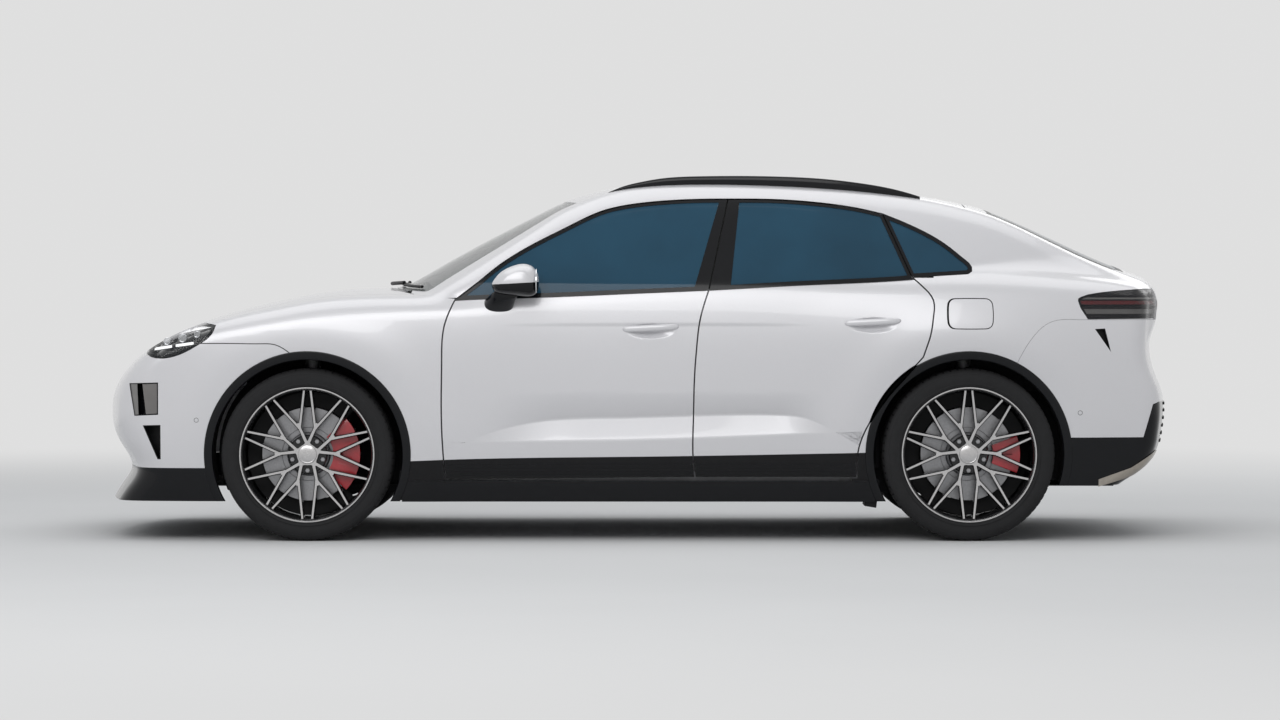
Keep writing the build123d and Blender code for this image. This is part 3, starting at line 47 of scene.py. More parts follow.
# ------------------------------------------------------------------ sizes
AXLE_X = {"front": -1442.0, "rear": 1450.0}
HALF_TRACK = {"front": 832.0, "rear": 820.0}
TYRE_WIDTH = {"front": 254.0, "rear": 284.0}
TYRE_RADIUS = 377.0
HUB_Z = TYRE_RADIUS
ARCH_RADIUS = 453.0
GROUND_GAP = 168.0
PANEL_GAP = 6.5
GAP = PANEL_GAP / 2
LIP = 0.4
SKIN = 5.0
FAR = 1500.0


# ------------------------------------------------------------------ form of the body
def curve(*points):
    """A natural cubic through (at, value) points, straight on past its ends."""
    xs = np.array([p[0] for p in points], float)
    ys = np.array([p[1] for p in points], float)
    step = np.diff(xs)
    rise = np.diff(ys) / step
    count = len(xs)
    system = np.eye(count)
    rest = np.zeros(count)
    for i in range(1, count - 1):
        system[i, i - 1:i + 2] = (step[i - 1], 2 * (step[i - 1] + step[i]), step[i])
        rest[i] = 6 * (rise[i] - rise[i - 1])
    bend = np.linalg.solve(system, rest)
    slope_start = rise[0] - step[0] * bend[1] / 6
    slope_end = rise[-1] + step[-1] * bend[-2] / 6

    def at(x):
        x = np.asarray(x, float)
        i = np.clip(np.searchsorted(xs, x) - 1, 0, count - 2)
        a = (xs[i + 1] - x) / step[i]
        b = (x - xs[i]) / step[i]
        value = a * ys[i] + b * ys[i + 1] + ((a**3 - a) * bend[i] + (b**3 - b)
                                             * bend[i + 1]) * step[i] ** 2 / 6
        value = np.where(x < xs[0], ys[0] + slope_start * (x - xs[0]), value)
        return np.where(x > xs[-1], ys[-1] + slope_end * (x - xs[-1]), value)

    return at


def round_max(a, b, blend):
    share = np.clip(0.5 + 0.5 * (a - b) / blend, 0, 1)
    return b + (a - b) * share + blend * share * (1 - share)


def round_min(a, b, blend):
    return -round_max(-a, -b, blend)


waist = curve((-2400, 885), (-2000, 925), (-1442, 948), (-800, 941), (0, 944), (700, 947),
              (1450, 954), (2000, 926), (2400, 868))
tuck = curve((150, 46), (300, 23), (450, 10), (620, 3), (760, 0), (860, 1), (940, 6),
             (1020, 17), (1090, 34), (1160, 62), (1260, 120))
low_top = curve((-2400, 690), (-2274, 790), (-2150, 868), (-2020, 933), (-1850, 994), (-1700, 1034),
                (-1590, 1058), (-1430, 1088), (-1273, 1103), (-1050, 1106), (-800, 1108),
                (-425, 1132), (100, 1157), (700, 1196), (1150, 1210), (1500, 1224), (1900, 1203),
                (2162, 1174), (2320, 1130), (2400, 1095))
low_crown = curve((-2400, 7e-5), (-2000, 4.5e-5), (-1700, 5e-5), (-1000, 5e-5), (-500, 4e-5),
                  (800, 4e-5), (1500, 6e-5), (2400, 9e-5))
high_top = curve((-1250, 1000), (-1101, 1088), (-950, 1180), (-770, 1282), (-586, 1379),
                 (-448, 1449), (-346, 1498), (-260, 1527), (-139, 1558), (50, 1581), (320, 1590),
                 (600, 1586), (900, 1569), (1150, 1545), (1299, 1526), (1449, 1498), (1577, 1466),
                 (1669, 1432), (1853, 1350), (2038, 1262), (2162, 1196), (2320, 1113), (2420, 1058))
high_crown = curve((-1250, 19e-5), (-900, 19e-5), (-400, 14e-5), (-100, 7.5e-5), (500, 6e-5),
                   (1300, 8e-5), (1700, 12e-5), (2400, 16e-5))
belt_width = curve((-1300, 815), (-1000, 862), (-600, 896), (0, 911), (500, 912), (1000, 894),
                   (1450, 848), (1800, 780), (2100, 705), (2400, 620))
lean = curve((900, -30), (1020, -16), (1100, 0), (1200, 42), (1300, 92), (1400, 148),
             (1480, 200), (1560, 262), (1640, 345))
nose_x = curve((150, -2388), (230, -2340), (300, -2300), (418, -2352), (515, -2386), (600, -2386),
               (690, -2374), (780, -2345), (900, -2300), (1050, -2240))
tail_x = curve((150, 2120), (240, 2200), (300, 2290), (373, 2352), (470, 2378), (574, 2388),
               (660, 2376), (740, 2344), (820, 2326), (960, 2330), (1040, 2334), (1120, 2334),
               (1200, 2322))
ARCH_CREST = 530.0
SHOULDER = 90.0
CANT_ROUND = 60.0
NOSE_ROUND = 120.0
TAIL_ROUND = 70.0


def bell(distance, width):
    return np.exp(-((distance / width) ** 2))


def half_width(x, z):
    """Half the body's width below the windows."""
    y = waist(x) - tuck(z)
    y += 12 * bell(x - AXLE_X["front"], 430) * bell(z - 820, 190)
    y += 22 * bell(x - AXLE_X["rear"] - 60, 470) * bell(z - 900, 190)
    for axle in AXLE_X.values():
        y += 9 * bell(np.hypot(x - axle, z - TYRE_RADIUS) - ARCH_CREST, 110)
    return y


def body(x, y, z, inset=0.0, floored=True):
    """Below zero inside the body, above zero outside. The inset moves every wall inwards."""
    y = np.abs(y)
    low = round_max(y - half_width(x, z) + inset, z - low_top(x) + low_crown(x) * y * y + inset, SHOULDER)
    low = round_max(low, nose_x(z) + 16e-5 * y * y - x + inset, NOSE_ROUND)
    tail = x - tail_x(z) + 13e-5 * y * y + inset
    low = round_max(low, tail, TAIL_ROUND)
    if floored:
        low = round_max(low, GROUND_GAP - z + inset, 20)
    glass = y - belt_width(x) + lean(z) + inset
    high = round_max(glass, z - high_top(x) + high_crown(x) * y * y + inset, CANT_ROUND)
    high = round_max(high, 950 - z, 10)
    high = round_max(high, tail, TAIL_ROUND)
    soft = 14 + 90 / (1 + np.exp(-(x - 1650) / 110)) + 50 / (1 + np.exp((x + 960) / 60))
    return round_min(low, high, soft)


def reach(test, inside, outside, shape):
    """Where a test turns from inside, below zero, to outside."""
    near = np.full(shape, float(inside))
    far = np.full(shape, float(outside))
    for _ in range(26):
        middle = (near + far) / 2
        within = test(middle) < 0
        near = np.where(within, middle, near)
        far = np.where(within, far, middle)
    return near


def side_wall(x, z, inset=0.0):
    y = reach(lambda s: body(x, s, z, inset), 0, FAR, x.shape)
    return np.stack([x, -y, z], -1)


def flank_wall(x, z, inset=0.0):
    return np.stack([x, inset - half_width(x, z), z], -1)


def window_wall(x, z, inset=0.0):
    return np.stack([x, inset - belt_width(x) + lean(z), z], -1)


def upper_wall(start):
    """The walls seen from above, found upwards from a height inside the body."""
    def wall(x, y, inset=0.0):
        z = reach(lambda s: body(x, y, s, inset), start, FAR * 1.2, x.shape)
        return np.stack([x, y, z], -1)
    return wall


def turned_wall(py, pz):
    """A side's walls found by rays that turn from straight down, across the car, about a line along it."""
    def wall(x, angle, inset=0.0):
        dy = -np.sin(np.radians(angle))
        dz = -np.cos(np.radians(angle))
        r = reach(lambda s: body(x, py + s * dy, pz + s * dz, inset), 0, FAR, x.shape)
        return np.stack([x, py + r * dy, pz + r * dz], -1)
    return wall


def plan_wall(px):
    """An end's walls found by level rays that turn from straight ahead about an upright line."""
    def wall(z, angle, inset=0.0):
        dx = -np.cos(np.radians(angle))
        dy = -np.sin(np.radians(angle))
        r = reach(lambda s: body(px + s * dx, s * dy, z, inset, False), 0, FAR, z.shape)
        return np.stack([px + r * dx, r * dy, z], -1)
    return wall


def back_wall(px, pz):
    """The back's walls found by rays that turn up from straight back about a line across the car."""
    def wall(y, angle, inset=0.0):
        dx = np.cos(np.radians(angle))
        dz = np.sin(np.radians(angle))
        r = reach(lambda s: body(px + s * dx, y, pz + s * dz, inset, False), 0, FAR, y.shape)
        return np.stack([px + r * dx, y, pz + r * dz], -1)
    return wall


top_wall = upper_wall(900)
hood_wall = upper_wall(500)
FENDER_WALL = turned_wall(-300, 600)
QUARTER_WALL = turned_wall(-300, 760)
CANT_WALL = turned_wall(-300, 1000)
NOSE_WALL = plan_wall(-1700)
TAIL_WALL = plan_wall(1650)
LID_X, LID_Z = 1900, 900
LID_WALL = back_wall(LID_X, LID_Z)


def outward(points):
    """The body's outward direction at points, from the slope of its form."""
    x, y, z = points.T
    d = 1.0
    slope = np.stack([body(x + d, y, z, 0, False) - body(x - d, y, z, 0, False),
                      body(x, y + d, z, 0, False) - body(x, y - d, z, 0, False),
                      body(x, y, z + d, 0, False) - body(x, y, z - d, 0, False)], -1)
    return slope / np.maximum(np.linalg.norm(slope, axis=1, keepdims=True), 1e-9)


# ------------------------------------------------------------------ outlines
def smooth(*points, step=18.0):
    """Points close together on a soft curve through a few."""
    p = np.array(points, float)
    run = np.concatenate([[0], np.cumsum(np.hypot(*np.diff(p, axis=0).T))])
    at = np.linspace(0, run[-1], max(3, int(run[-1] / step)))
    return list(zip(curve(*zip(run, p[:, 0]))(at).tolist(), curve(*zip(run, p[:, 1]))(at).tolist()))


def shifted(points, amount):
    """A closed outline moved out by an amount all round, or in where it is negative."""
    p = np.array(points, float)
    area = np.sum(np.roll(p, 1, 0)[:, 0] * p[:, 1] - p[:, 0] * np.roll(p, 1, 0)[:, 1])
    ahead = np.roll(p, -1, 0) - p
    length = np.maximum(np.linalg.norm(ahead, axis=1), 1e-6)
    normal = np.stack([ahead[:, 1], -ahead[:, 0]], -1) / length[:, None] * np.sign(area)
    before = np.roll(normal, 1, 0)
    share = amount / np.maximum(1 + np.sum(before * normal, axis=1), 0.3)
    return [tuple(q) for q in (p + (before + normal) * share[:, None]).tolist()]


def whole(half):
    """An outline drawn on the left of the middle, with its right half."""
    return half + [(x, -y) for x, y in reversed(half) if y]


def oblong(x0, y0, x1, y1):
    return [(x0, y0), (x1, y0), (x1, y1), (x0, y1)]


BELT = curve((-1000, 1040), (-798, 1053), (-425, 1066), (100, 1088), (314, 1097), (713, 1119),
             (1151, 1141), (1453, 1169), (1700, 1190))
FRONT_DOOR_EDGE = smooth((-839, 267), (-852, 442), (-856, 616), (-854, 791), (-842, 944), (-798, 1053))
FRONT_WINDOW_TOP = smooth((-690, 1136), (-603, 1207), (-516, 1264), (-428, 1313), (-341, 1357),
                          (-253, 1402), (-164, 1442), (-76, 1466), (12, 1480), (101, 1489), (278, 1498),
                          (402, 1499))
DOOR_SPLIT = smooth((314, 1097), (292, 1031), (275, 966), (261, 856), (250, 704), (246, 529), (244, 376),
                    (253, 276))
REAR_WINDOW_TOP = smooth((402, 1499), (633, 1496), (810, 1482), (986, 1456), (1085, 1433))
REAR_DOOR_EDGE = (smooth((1205, 1154), (1260, 1101), (1286, 1070), (1297, 1040), (1294, 987), (1280, 900),
                         (1266, 856), (1248, 804)) + smooth((1100, 640), (964, 385), (960, 276)))
QUARTER_WINDOW = smooth((1085, 1433), (1162, 1402), (1249, 1362), (1336, 1313), (1401, 1264), (1443, 1229),
                        (1469, 1202), (1472, 1185), (1453, 1169)) + [(1205, 1154)]
FRONT_DOOR = FRONT_DOOR_EDGE + FRONT_WINDOW_TOP + DOOR_SPLIT
REAR_DOOR = DOOR_SPLIT[::-1] + REAR_WINDOW_TOP + REAR_DOOR_EDGE
WINDOWS = (FRONT_DOOR_EDGE[-1:] + FRONT_WINDOW_TOP + REAR_WINDOW_TOP[1:] + QUARTER_WINDOW[1:-1]
           + [(1453, 900), (-798, 900)])
HOOD = whole(smooth((-2178, 0), (-2172, -220), (-2146, -420), (-2095, -555), (-2000, -640), (-1850, -688),
                    (-1600, -720), (-1300, -742), (-1100, -754), (-985, -758))
             + smooth((-985, -758), (-1025, -650), (-1078, -480), (-1112, -280), (-1128, 0))[1:])
SHIELD = whole(smooth((-1101, 0), (-1090, -220), (-1052, -440), (-985, -630),
                      (-930, -742)) + smooth((-930, -742), (-828, -716), (-696, -690), (-564, -660),
                                             (-432, -630), (-268, -596))[1:] + smooth((-268, -596),
                                                                                      (-320, -300),
                                                                                      (-338, 0))[1:])
ROOF = whole(smooth((-338, 0), (-320, -300), (-268, -596))
             + smooth((-268, -596), (-60, -604), (400, -606), (900, -598), (1456, -566))[1:]
             + smooth((1456, -566), (1464, -300), (1468, 0))[1:])
TAILGATE = whole(smooth((1472, 0), (1468, -300), (1460, -566)) + smooth((1460, -566), (1700, -585),
                                                                        (2000, -590), (2180, -586),
                                                                        (2420, -580))[1:] + [(2420, 0)])
REAR_GLASS = whole([(1590, 0), (1590, -470), (1620, -500), (2130, -520), (2150, -480), (2165, 0)])
FRONT_BUMPER = [(-2600, 100), (-2600, 880), (-2158, 812), (-2133, 806), (-1989, 819), (-1900, 826),
                (-1862, 800), (-1820, 700), (-1800, 640), (-1800, 100)]
REAR_BUMPER = [(2600, 100), (2600, 966), (1930, 966)] + smooth((1930, 966), (1800, 953), (1735, 900),
                                                               (1670, 800), (1600, 640))[1:] + [(1600, 100)]
BUMPER_LAMP = [(-2227, 688), (-2096, 692), (-2096, 551), (-2202, 546)]
HEADLIGHT = (smooth((-2175, 830), (-2133, 806), (-1989, 819), (-1917, 858), (-1855, 912), (-1845, 943))
             + smooth((-1845, 943), (-1925, 952), (-2042, 926), (-2120, 880), (-2175, 830))[1:-1])
TAIL_LIGHT = [(1929, 1050), (1940, 1017), (1971, 969), (2600, 976), (2600, 1105), (2228, 1102), (2110, 1094),
              (2032, 1086), (1975, 1077), (1942, 1066), (1931, 1059)]
CHARGE_DOOR = smooth((1357, 1023), (1357, 963), (1360, 946), (1368, 934), (1380, 927), (1397, 925),
                     (1515, 925), (1532, 927), (1544, 934), (1552, 946), (1555, 963), (1555, 1023),
                     (1552, 1040), (1544, 1052), (1532, 1059), (1515, 1061), (1397, 1061), (1380, 1059),
                     (1368, 1052), (1360, 1040), step=7.0)
ARCH = {end: [(x + ARCH_RADIUS * math.cos(a), HUB_Z + ARCH_RADIUS * math.sin(a))
              for a in np.linspace(0, 2 * math.pi, 121)[:-1].tolist()] for end, x in AXLE_X.items()}
LAMP_PANEL = [(-2224, 685), (-2190, 687), (-2184, 552), (-2200, 549)]
LAMP_WINDOW = [(-2166, 684), (-2101, 687), (-2101, 556), (-2150, 553)]
LOWER_INTAKE = [(-2164, 504), (-2086, 506), (-2086, 356), (-2100, 356)]
FRONT_GRILLE = [(-400, 352), (400, 352), (470, 500), (-470, 500)]
REAR_VENT = [(2002, 926), (2046, 928), (2072, 826)]
REAR_CORNER = [(2215, 440), (2224, 470), (2262, 596), (2290, 606), (2600, 606), (2600, 440)]
LID_FRAME = [(1552, -650), (1564, -480), (1568, 0), (1564, 480), (1552, 650), (2080, 650), (2140, 530),
             (2180, 490), (2188, 0), (2180, -490), (2140, -530), (2080, -650)]
SKID_TRIM = [(2020, 236), (2190, 284), (2330, 380), (2285, 392), (2165, 318), (2020, 268)]
SENSORS = {"front": (-1927, 528), "rear": (1936, 560)}


def ribbon(points, wide):
    """The outline of a narrow strip along a line."""
    p = np.array(points, float)
    along = np.gradient(p, axis=0)
    side = np.stack([-along[:, 1], along[:, 0]], -1) / np.linalg.norm(along, axis=1,
                                                                      keepdims=True) * wide / 2
    return [tuple(q) for q in np.concatenate([p + side, (p - side)[::-1]]).tolist()]


def ring(centre, radius, count=24):
    turn = np.linspace(0, 2 * math.pi, count, endpoint=False)
    return [(centre[0] + radius * math.cos(a), centre[1] + radius * math.sin(a)) for a in turn.tolist()]


FENDER_LINE = smooth((-1912, 863), (-1760, 863), (-1640, 862), (-1585, 859), (-1552, 846), (-1512, 818))
A_PILLAR_FOOT = [(-3000, 1200), (-1000, 1080), (-798, 1058)]
PAINT_BOTTOM = curve((-1200, 338), (-953, 350), (0, 368), (964, 385), (1100, 388))
UNDER_PAINT = [(x, float(PAINT_BOTTOM(x))) for x in np.linspace(-1100, 1150, 60).tolist()]
UNDER_PAINT += [(1150, 100), (-1100, 100)]
HOOD_HOLE = shifted(HOOD, GAP)
LID_HOLE = shifted(TAILGATE, GAP)


# ------------------------------------------------------------------ meshes
def linked(name, mesh):
    piece = bpy.data.objects.new(name, mesh)
    scene.collection.objects.link(piece)
    return piece


def add_mesh(name, verts, faces, scale=MM):
    mesh = bpy.data.meshes.new(name)
    mesh.from_pydata((np.asarray(verts, float) * scale).tolist(), [], faces)
    mesh.validate()
    return linked(name, mesh)


def orient(piece):
    work = bmesh.new()
    work.from_mesh(piece.data)
    bmesh.ops.recalc_face_normals(work, faces=work.faces)
    work.to_mesh(piece.data)
    work.free()
    return piece


def shell_at(name, outer, inner):
    """A closed sheet between two grids of points."""
    n, m = outer.shape[:2]
    verts = np.concatenate([outer.reshape(-1, 3), inner.reshape(-1, 3)])
    index = np.arange(n * m).reshape(n, m)
    quads = np.stack([index[:-1, :-1], index[1:, :-1], index[1:, 1:], index[:-1, 1:]], -1).reshape(-1, 4)
    rim = np.concatenate([index[:, 0], index[-1, 1:], index[-2::-1, -1], index[0, -2:0:-1]])
    after = np.roll(rim, -1)
    edge = np.stack([after, rim, rim + n * m, after + n * m], -1)
    return orient(add_mesh(name, verts, quads.tolist() + (quads[:, ::-1] + n * m).tolist() + edge.tolist()))


def shell(name, wall, us, vs, inset=0.0, depth=SKIN):
    """A closed sheet on a wall of the body, between rows us and vs."""
    u, v = np.meshgrid(np.asarray(us, float), np.asarray(vs, float), indexing="ij")
    return shell_at(name, wall(u, v, inset), wall(u, v, inset + depth))


def prism(points, axis, low=-3000.0, high=3000.0):
    """A cutting tool: an outline drawn in the plane across an axis, as deep as the car."""
    flat = np.array(points, float)
    count = len(flat)
    ends = [np.insert(flat, "xyz".index(axis), level, axis=1) for level in (low, high)]
    faces = [list(range(count)), list(range(2 * count - 1, count - 1, -1))]
    faces += [[i, (i + 1) % count, count + (i + 1) % count, count + i] for i in range(count)]
    return orient(add_mesh("tool", np.concatenate(ends), faces))


def keep(points, axis="y", *span):
    return "INTERSECT", prism(points, axis, *span)


def drop(points, axis="y", *span):
    return "DIFFERENCE", prism(points, axis, *span)


def applied(piece):
    """The piece with its modifiers made part of its mesh."""
    shape = bpy.data.meshes.new_from_object(piece.evaluated_get(bpy.context.evaluated_depsgraph_get()))
    piece.modifiers.clear()
    piece.data = shape
    return piece


def carved(piece, *cuts):
    """The piece after boolean cuts: each is an operation and a tool."""
    for operation, tool in cuts:
        step = piece.modifiers.new("cut", "BOOLEAN")
        step.operation = operation
        step.object = tool
        step.solver = "MANIFOLD"
    applied(piece)
    for _, tool in cuts:
        bpy.data.objects.remove(tool)
    return piece


def read(items, prop, width=1, kind=float):
    """One property of many parts of a mesh."""
    flat = np.empty(len(items) * width, kind)
    items.foreach_get(prop, flat)
    return flat.reshape(-1, width) if width > 1 else flat


def coords(piece):
    return read(piece.data.vertices, "co", 3)


def moved(piece, at):
    piece.data.vertices.foreach_set("co", at.reshape(-1))
    piece.data.update()
    return piece


def flow(piece, direction=outward, near=0.8):
    """Shades a sheet by the true form of the body, so that cut edges don't show in its gloss."""
    mesh = piece.data
    true = direction(coords(piece) / MM)
    mesh.shade_smooth()
    flat = read(mesh.polygons, "normal", 3)
    face = np.repeat(np.arange(len(flat)), read(mesh.polygons, "loop_total", kind=int))
    lit = true[read(mesh.loops, "vertex_index", kind=int)]
    facing = np.sum(lit * flat[face], axis=1)
    lit = np.where((np.abs(facing) > near)[:, None], lit * np.sign(facing)[:, None], flat[face])
    mesh.normals_split_custom_set(lit.tolist())
    return piece


def mirrored(piece, name, both=False):
    """The same piece on the right of the car, or both in one mesh that takes its place."""
    mesh = piece.data
    left = coords(piece)
    verts = left * (1, -1, 1)
    faces = [tuple(reversed(p.vertices)) for p in mesh.polygons]
    slots = [p.material_index for p in mesh.polygons]
    if both:
        verts = np.concatenate([left, verts])
        faces = [tuple(p.vertices) for p in mesh.polygons] + [tuple(i + len(left) for i in f) for f in faces]
        slots *= 2
    made = add_mesh(name, verts, faces, 1.0)
    for look in mesh.materials:
        made.data.materials.append(look)
    made.data.polygons.foreach_set("material_index", slots)
    if both:
        bpy.data.objects.remove(piece)
    return made


def both_sides(piece):
    return mirrored(piece, piece.name, both=True)


def joined(name, *parts):
    """Several meshes as one piece, with their materials."""
    work = bmesh.new()
    looks = []
    for part in parts:
        looks += [look for look in part.data.materials if look not in looks]
        shift = {i: looks.index(look) for i, look in enumerate(part.data.materials)}
        for polygon in part.data.polygons:
            polygon.material_index = shift.get(polygon.material_index, 0)
        part.data.transform(part.matrix_world)
        work.from_mesh(part.data)
    mesh = bpy.data.meshes.new(name)
    work.to_mesh(mesh)
    work.free()
    for look in looks:
        mesh.materials.append(look)
    piece = linked(name, mesh)
    for part in parts:
        bpy.data.objects.remove(part)
    return piece


def soften(piece, angle=35.0):
    """Smooth shading with sharp edges kept."""
    piece.data.shade_smooth()
    piece.data.set_sharp_from_angle(angle=math.radians(angle))
    return piece


def bevelled(piece, width, segments=2, angle=40.0):
    step = piece.modifiers.new("round", "BEVEL")
    step.width = width * MM
    step.segments = segments
    step.limit_method = "ANGLE"
    step.angle_limit = math.radians(angle)
    step.use_clamp_overlap = True
    return soften(applied(piece))


def swept(name, rings, closed=False):
    """A tube through rows of points, joined end to end where it is closed."""
    rings = np.asarray(rings, float)
    count, size = rings.shape[:2]
    index = np.arange(count * size).reshape(count, size)
    here = index if closed else index[:-1]
    ahead = np.roll(index, -1, 0) if closed else index[1:]
    quads = np.stack([here, ahead, np.roll(ahead, -1, 1), np.roll(here, -1, 1)], -1).reshape(-1, 4)
    caps = [] if closed else [index[0].tolist(), index[-1][::-1].tolist()]
    return orient(add_mesh(name, rings.reshape(-1, 3), quads.tolist() + caps))


def dress(piece, look):
    piece.data.materials.clear()
    piece.data.materials.append(look)
    return piece


def plate(name, points, low, high, look, round_off=2.5):
    """A flat plate, from its outline seen from the side."""
    piece = prism(points, "y", low, high)
    piece.name = name
    return bevelled(dress(piece, look), round_off)


def block(name, shape, low, high, look, *rounding):
    """An outline seen from the side, drawn out between two distances across the car."""
    piece = dress(swept(name, [[(x, y, z) for x, z in shape] for y in (low, high)]), look)
    return bevelled(piece, *rounding) if rounding else piece


def parted(piece, outline, axis, inside, outside):
    """One sheet in two finishes, parted along an outline."""
    twin = carved(linked("twin", piece.data.copy()), keep(outline, axis))
    carved(piece, drop(outline, axis))
    return joined(piece.name, dress(piece, outside), dress(twin, inside))


def place(piece, body_name, *nodes):
    """The piece rides on a body and stands for CAD nodes."""
    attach(piece, body_name)
    if nodes:
        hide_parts(*nodes)
    return piece


def pair(piece, stem, finish):
    """A piece of the left side and its mirror image, by side."""
    right = finish(mirrored(piece, f"{stem}_right"))
    piece.name = f"{stem}_left"
    return {"left": finish(piece), "right": right}


def rows(start, stop, step=20.0):
    return np.linspace(start, stop, max(3, int(round((stop - start) / step)) + 1))


def sheet(name, wall, us, vs, look, *cuts, inset=0.0, depth=SKIN):
    """A sheet of the body, cut to shape and finished."""
    piece = shell(name, wall, us, vs, inset, depth)
    return dress(carved(piece, *cuts) if cuts else piece, look)


def panel(*made_of, on="chassis", nodes=(), both=False, direction=outward, **depths):
    """A sheet of the body, on both sides where asked, shaded and placed."""
    piece = sheet(*made_of, **depths)
    return place(flow(both_sides(piece) if both else piece, direction), on, *nodes)


def pocket(name, wall, us, vs, outline, deep, look, axis="y"):
    """A lined recess behind a hole of the same outline."""
    rim = sheet(f"{name}_rim", wall, us, vs, look, keep(outline, axis), drop(shifted(outline, -3), axis),
                inset=0.8, depth=deep)
    back = sheet(name, wall, us, vs, look, keep(outline, axis), inset=deep - 3, depth=4)
    return soften(joined(name, rim, back), 40)


def rod(name, points, radius, look, sides=12):
    """A round bar through points."""
    p = np.array(points, float)
    along = np.gradient(p, axis=0)
    along /= np.linalg.norm(along, axis=1, keepdims=True)
    up = np.cross(along, (0.3, 0.1, 0.95))
    up /= np.linalg.norm(up, axis=1, keepdims=True)
    aside = np.cross(along, up)
    rings = [[at + c * u + s * a for c, s in ring((0, 0), radius, sides)] for at, u, a in zip(p, up, aside)]
    return soften(dress(swept(name, rings), look), 50)


# ------------------------------------------------------------------ materials
def node(tree, kind, **inputs):
    """A new shader node, with a value or a link on each named input."""
    made = tree.nodes.new(f"ShaderNode{kind}")
    for name, value in inputs.items():
        socket = made.inputs[name.replace("_", " ")]
        if isinstance(value, bpy.types.NodeSocket):
            tree.links.new(value, socket)
        else:
            socket.default_value = value
    return made


def material(name, color, roughness, metallic=0.0, coat=0.0, grain=None, tone=None, **sockets):
    """A procedural finish: tone is (scale, share) of colour change, grain (scale, depth in mm) of bump.
    A third value in grain makes it cells, like leather."""
    made = bpy.data.materials.new(name)
    made.use_nodes = True
    tree = made.node_tree
    shader = tree.nodes["Principled BSDF"]
    plain = {"Base_Color": (*color, 1), "Roughness": roughness, "Metallic": metallic, "Coat_Weight": coat,
             "Coat_Roughness": 0.04}
    for socket, value in (plain | sockets).items():
        shader.inputs[socket.replace("_", " ")].default_value = value
    place_at = tree.nodes.new("ShaderNodeTexCoord").outputs["Object"]
    if tone:
        scale, share = tone
        noise = node(tree, "TexNoise", Scale=scale, Detail=4, Vector=place_at).outputs["Fac"]
        ramp = node(tree, "ValToRGB", Fac=noise)
        for stop, position, change in zip(ramp.color_ramp.elements, (0.3, 0.7), (-share, share)):
            stop.position = position
            stop.color = (*[min(1.0, c * (1 + change)) for c in color], 1)
        spread = node(tree, "MapRange", Value=noise, To_Min=max(0.0, roughness * 0.85),
                      To_Max=min(1.0, roughness * 1.15))
        tree.links.new(ramp.outputs["Color"], shader.inputs["Base Color"])
        tree.links.new(spread.outputs["Result"], shader.inputs["Roughness"])
    if grain:
        scale, depth, *cells = grain
        pattern = node(tree, "TexVoronoi" if cells else "TexNoise", Scale=scale, Vector=place_at)
        bump = node(tree, "Bump", Distance=depth * MM, Strength=0.6,
                    Height=pattern.outputs["Distance" if cells else "Fac"])
        tree.links.new(bump.outputs["Normal"], shader.inputs["Normal"])
    return made


PAINT = material("paint", (0.70, 0.695, 0.715), 0.34, 0.25, 0.7, tone=(900, 0.035), grain=(2600, 0.01))
GLOSS_BLACK = material("gloss_black", (0.004, 0.0045, 0.006), 0.16, 0.0, 0.2, tone=(30, 0.1),
                       Specular_IOR_Level=0.18)
SATIN_BLACK = material("satin_black", (0.008, 0.008, 0.009), 0.42, tone=(40, 0.12), grain=(1500, 0.05),
                       Specular_IOR_Level=0.2)
GRAINED_BLACK = material("grained_black", (0.010, 0.010, 0.011), 0.6, tone=(60, 0.12), grain=(900, 0.12),
                         Specular_IOR_Level=0.3)
FELT = material("felt", (0.010, 0.010, 0.011), 0.95, tone=(300, 0.25), grain=(700, 0.6))
RUBBER = material("rubber", (0.016, 0.016, 0.017), 0.78, tone=(25, 0.2), grain=(600, 0.08),
                  Specular_IOR_Level=0.3)
# Dark seal rubber; behind the fender's groove the same finish is painted shade.
SEAL_AND_GAP_SHADE = material("seal", (0.012, 0.012, 0.012), 0.6, tone=(50, 0.15), grain=(800, 0.05))
# Side and tailgate glass: dark tinted glass whose blue base colour is a painted reflection of a blue sky.
GLASS_WITH_PAINTED_SKY = material("side_glass", (0.014, 0.068, 0.118), 0.03, coat=0.1, tone=(3, 0.12), Alpha=0.88,
                      Specular_IOR_Level=0.25)
SHIELD_GLASS = material("shield_glass", (0.09, 0.11, 0.11), 0.02, coat=0.5, tone=(3, 0.08), Alpha=0.5)
LAMP_GLASS = material("lamp_glass", (0.16, 0.15, 0.145), 0.05, coat=1.0, tone=(8, 0.15), Alpha=0.86)
LENS = material("lens", (0.06, 0.065, 0.07), 0.03, coat=0.5, tone=(5, 0.04), Alpha=0.18,
                Specular_IOR_Level=0.4)
SMOKED_LENS = material("smoked_lens", (0.02, 0.02, 0.024), 0.04, coat=0.4, tone=(5, 0.08), Alpha=0.36,
                       Specular_IOR_Level=0.35)
LAMP_GREY = material("lamp_grey", (0.20, 0.195, 0.19), 0.4, coat=0.3, tone=(30, 0.06))
LAMP_BAR = material("lamp_bar", (0.9, 0.92, 0.95), 0.25, coat=0.6, tone=(40, 0.03),
                    Emission_Color=(1, 1, 1, 1), Emission_Strength=1.1)
LAMP_PALE = material("lamp_pale", (0.62, 0.60, 0.57), 0.25, coat=0.6, tone=(40, 0.05))
LAMP_RED = material("lamp_red", (0.42, 0.01, 0.015), 0.22, coat=0.8, tone=(60, 0.12))
REFLECTOR = material("reflector", (0.75, 0.76, 0.78), 0.12, 1.0, tone=(20, 0.05))
WHEEL_BLACK = material("wheel_black", (0.008, 0.008, 0.009), 0.25, 0.0, 0.4, tone=(40, 0.12),
                       Specular_IOR_Level=0.3)
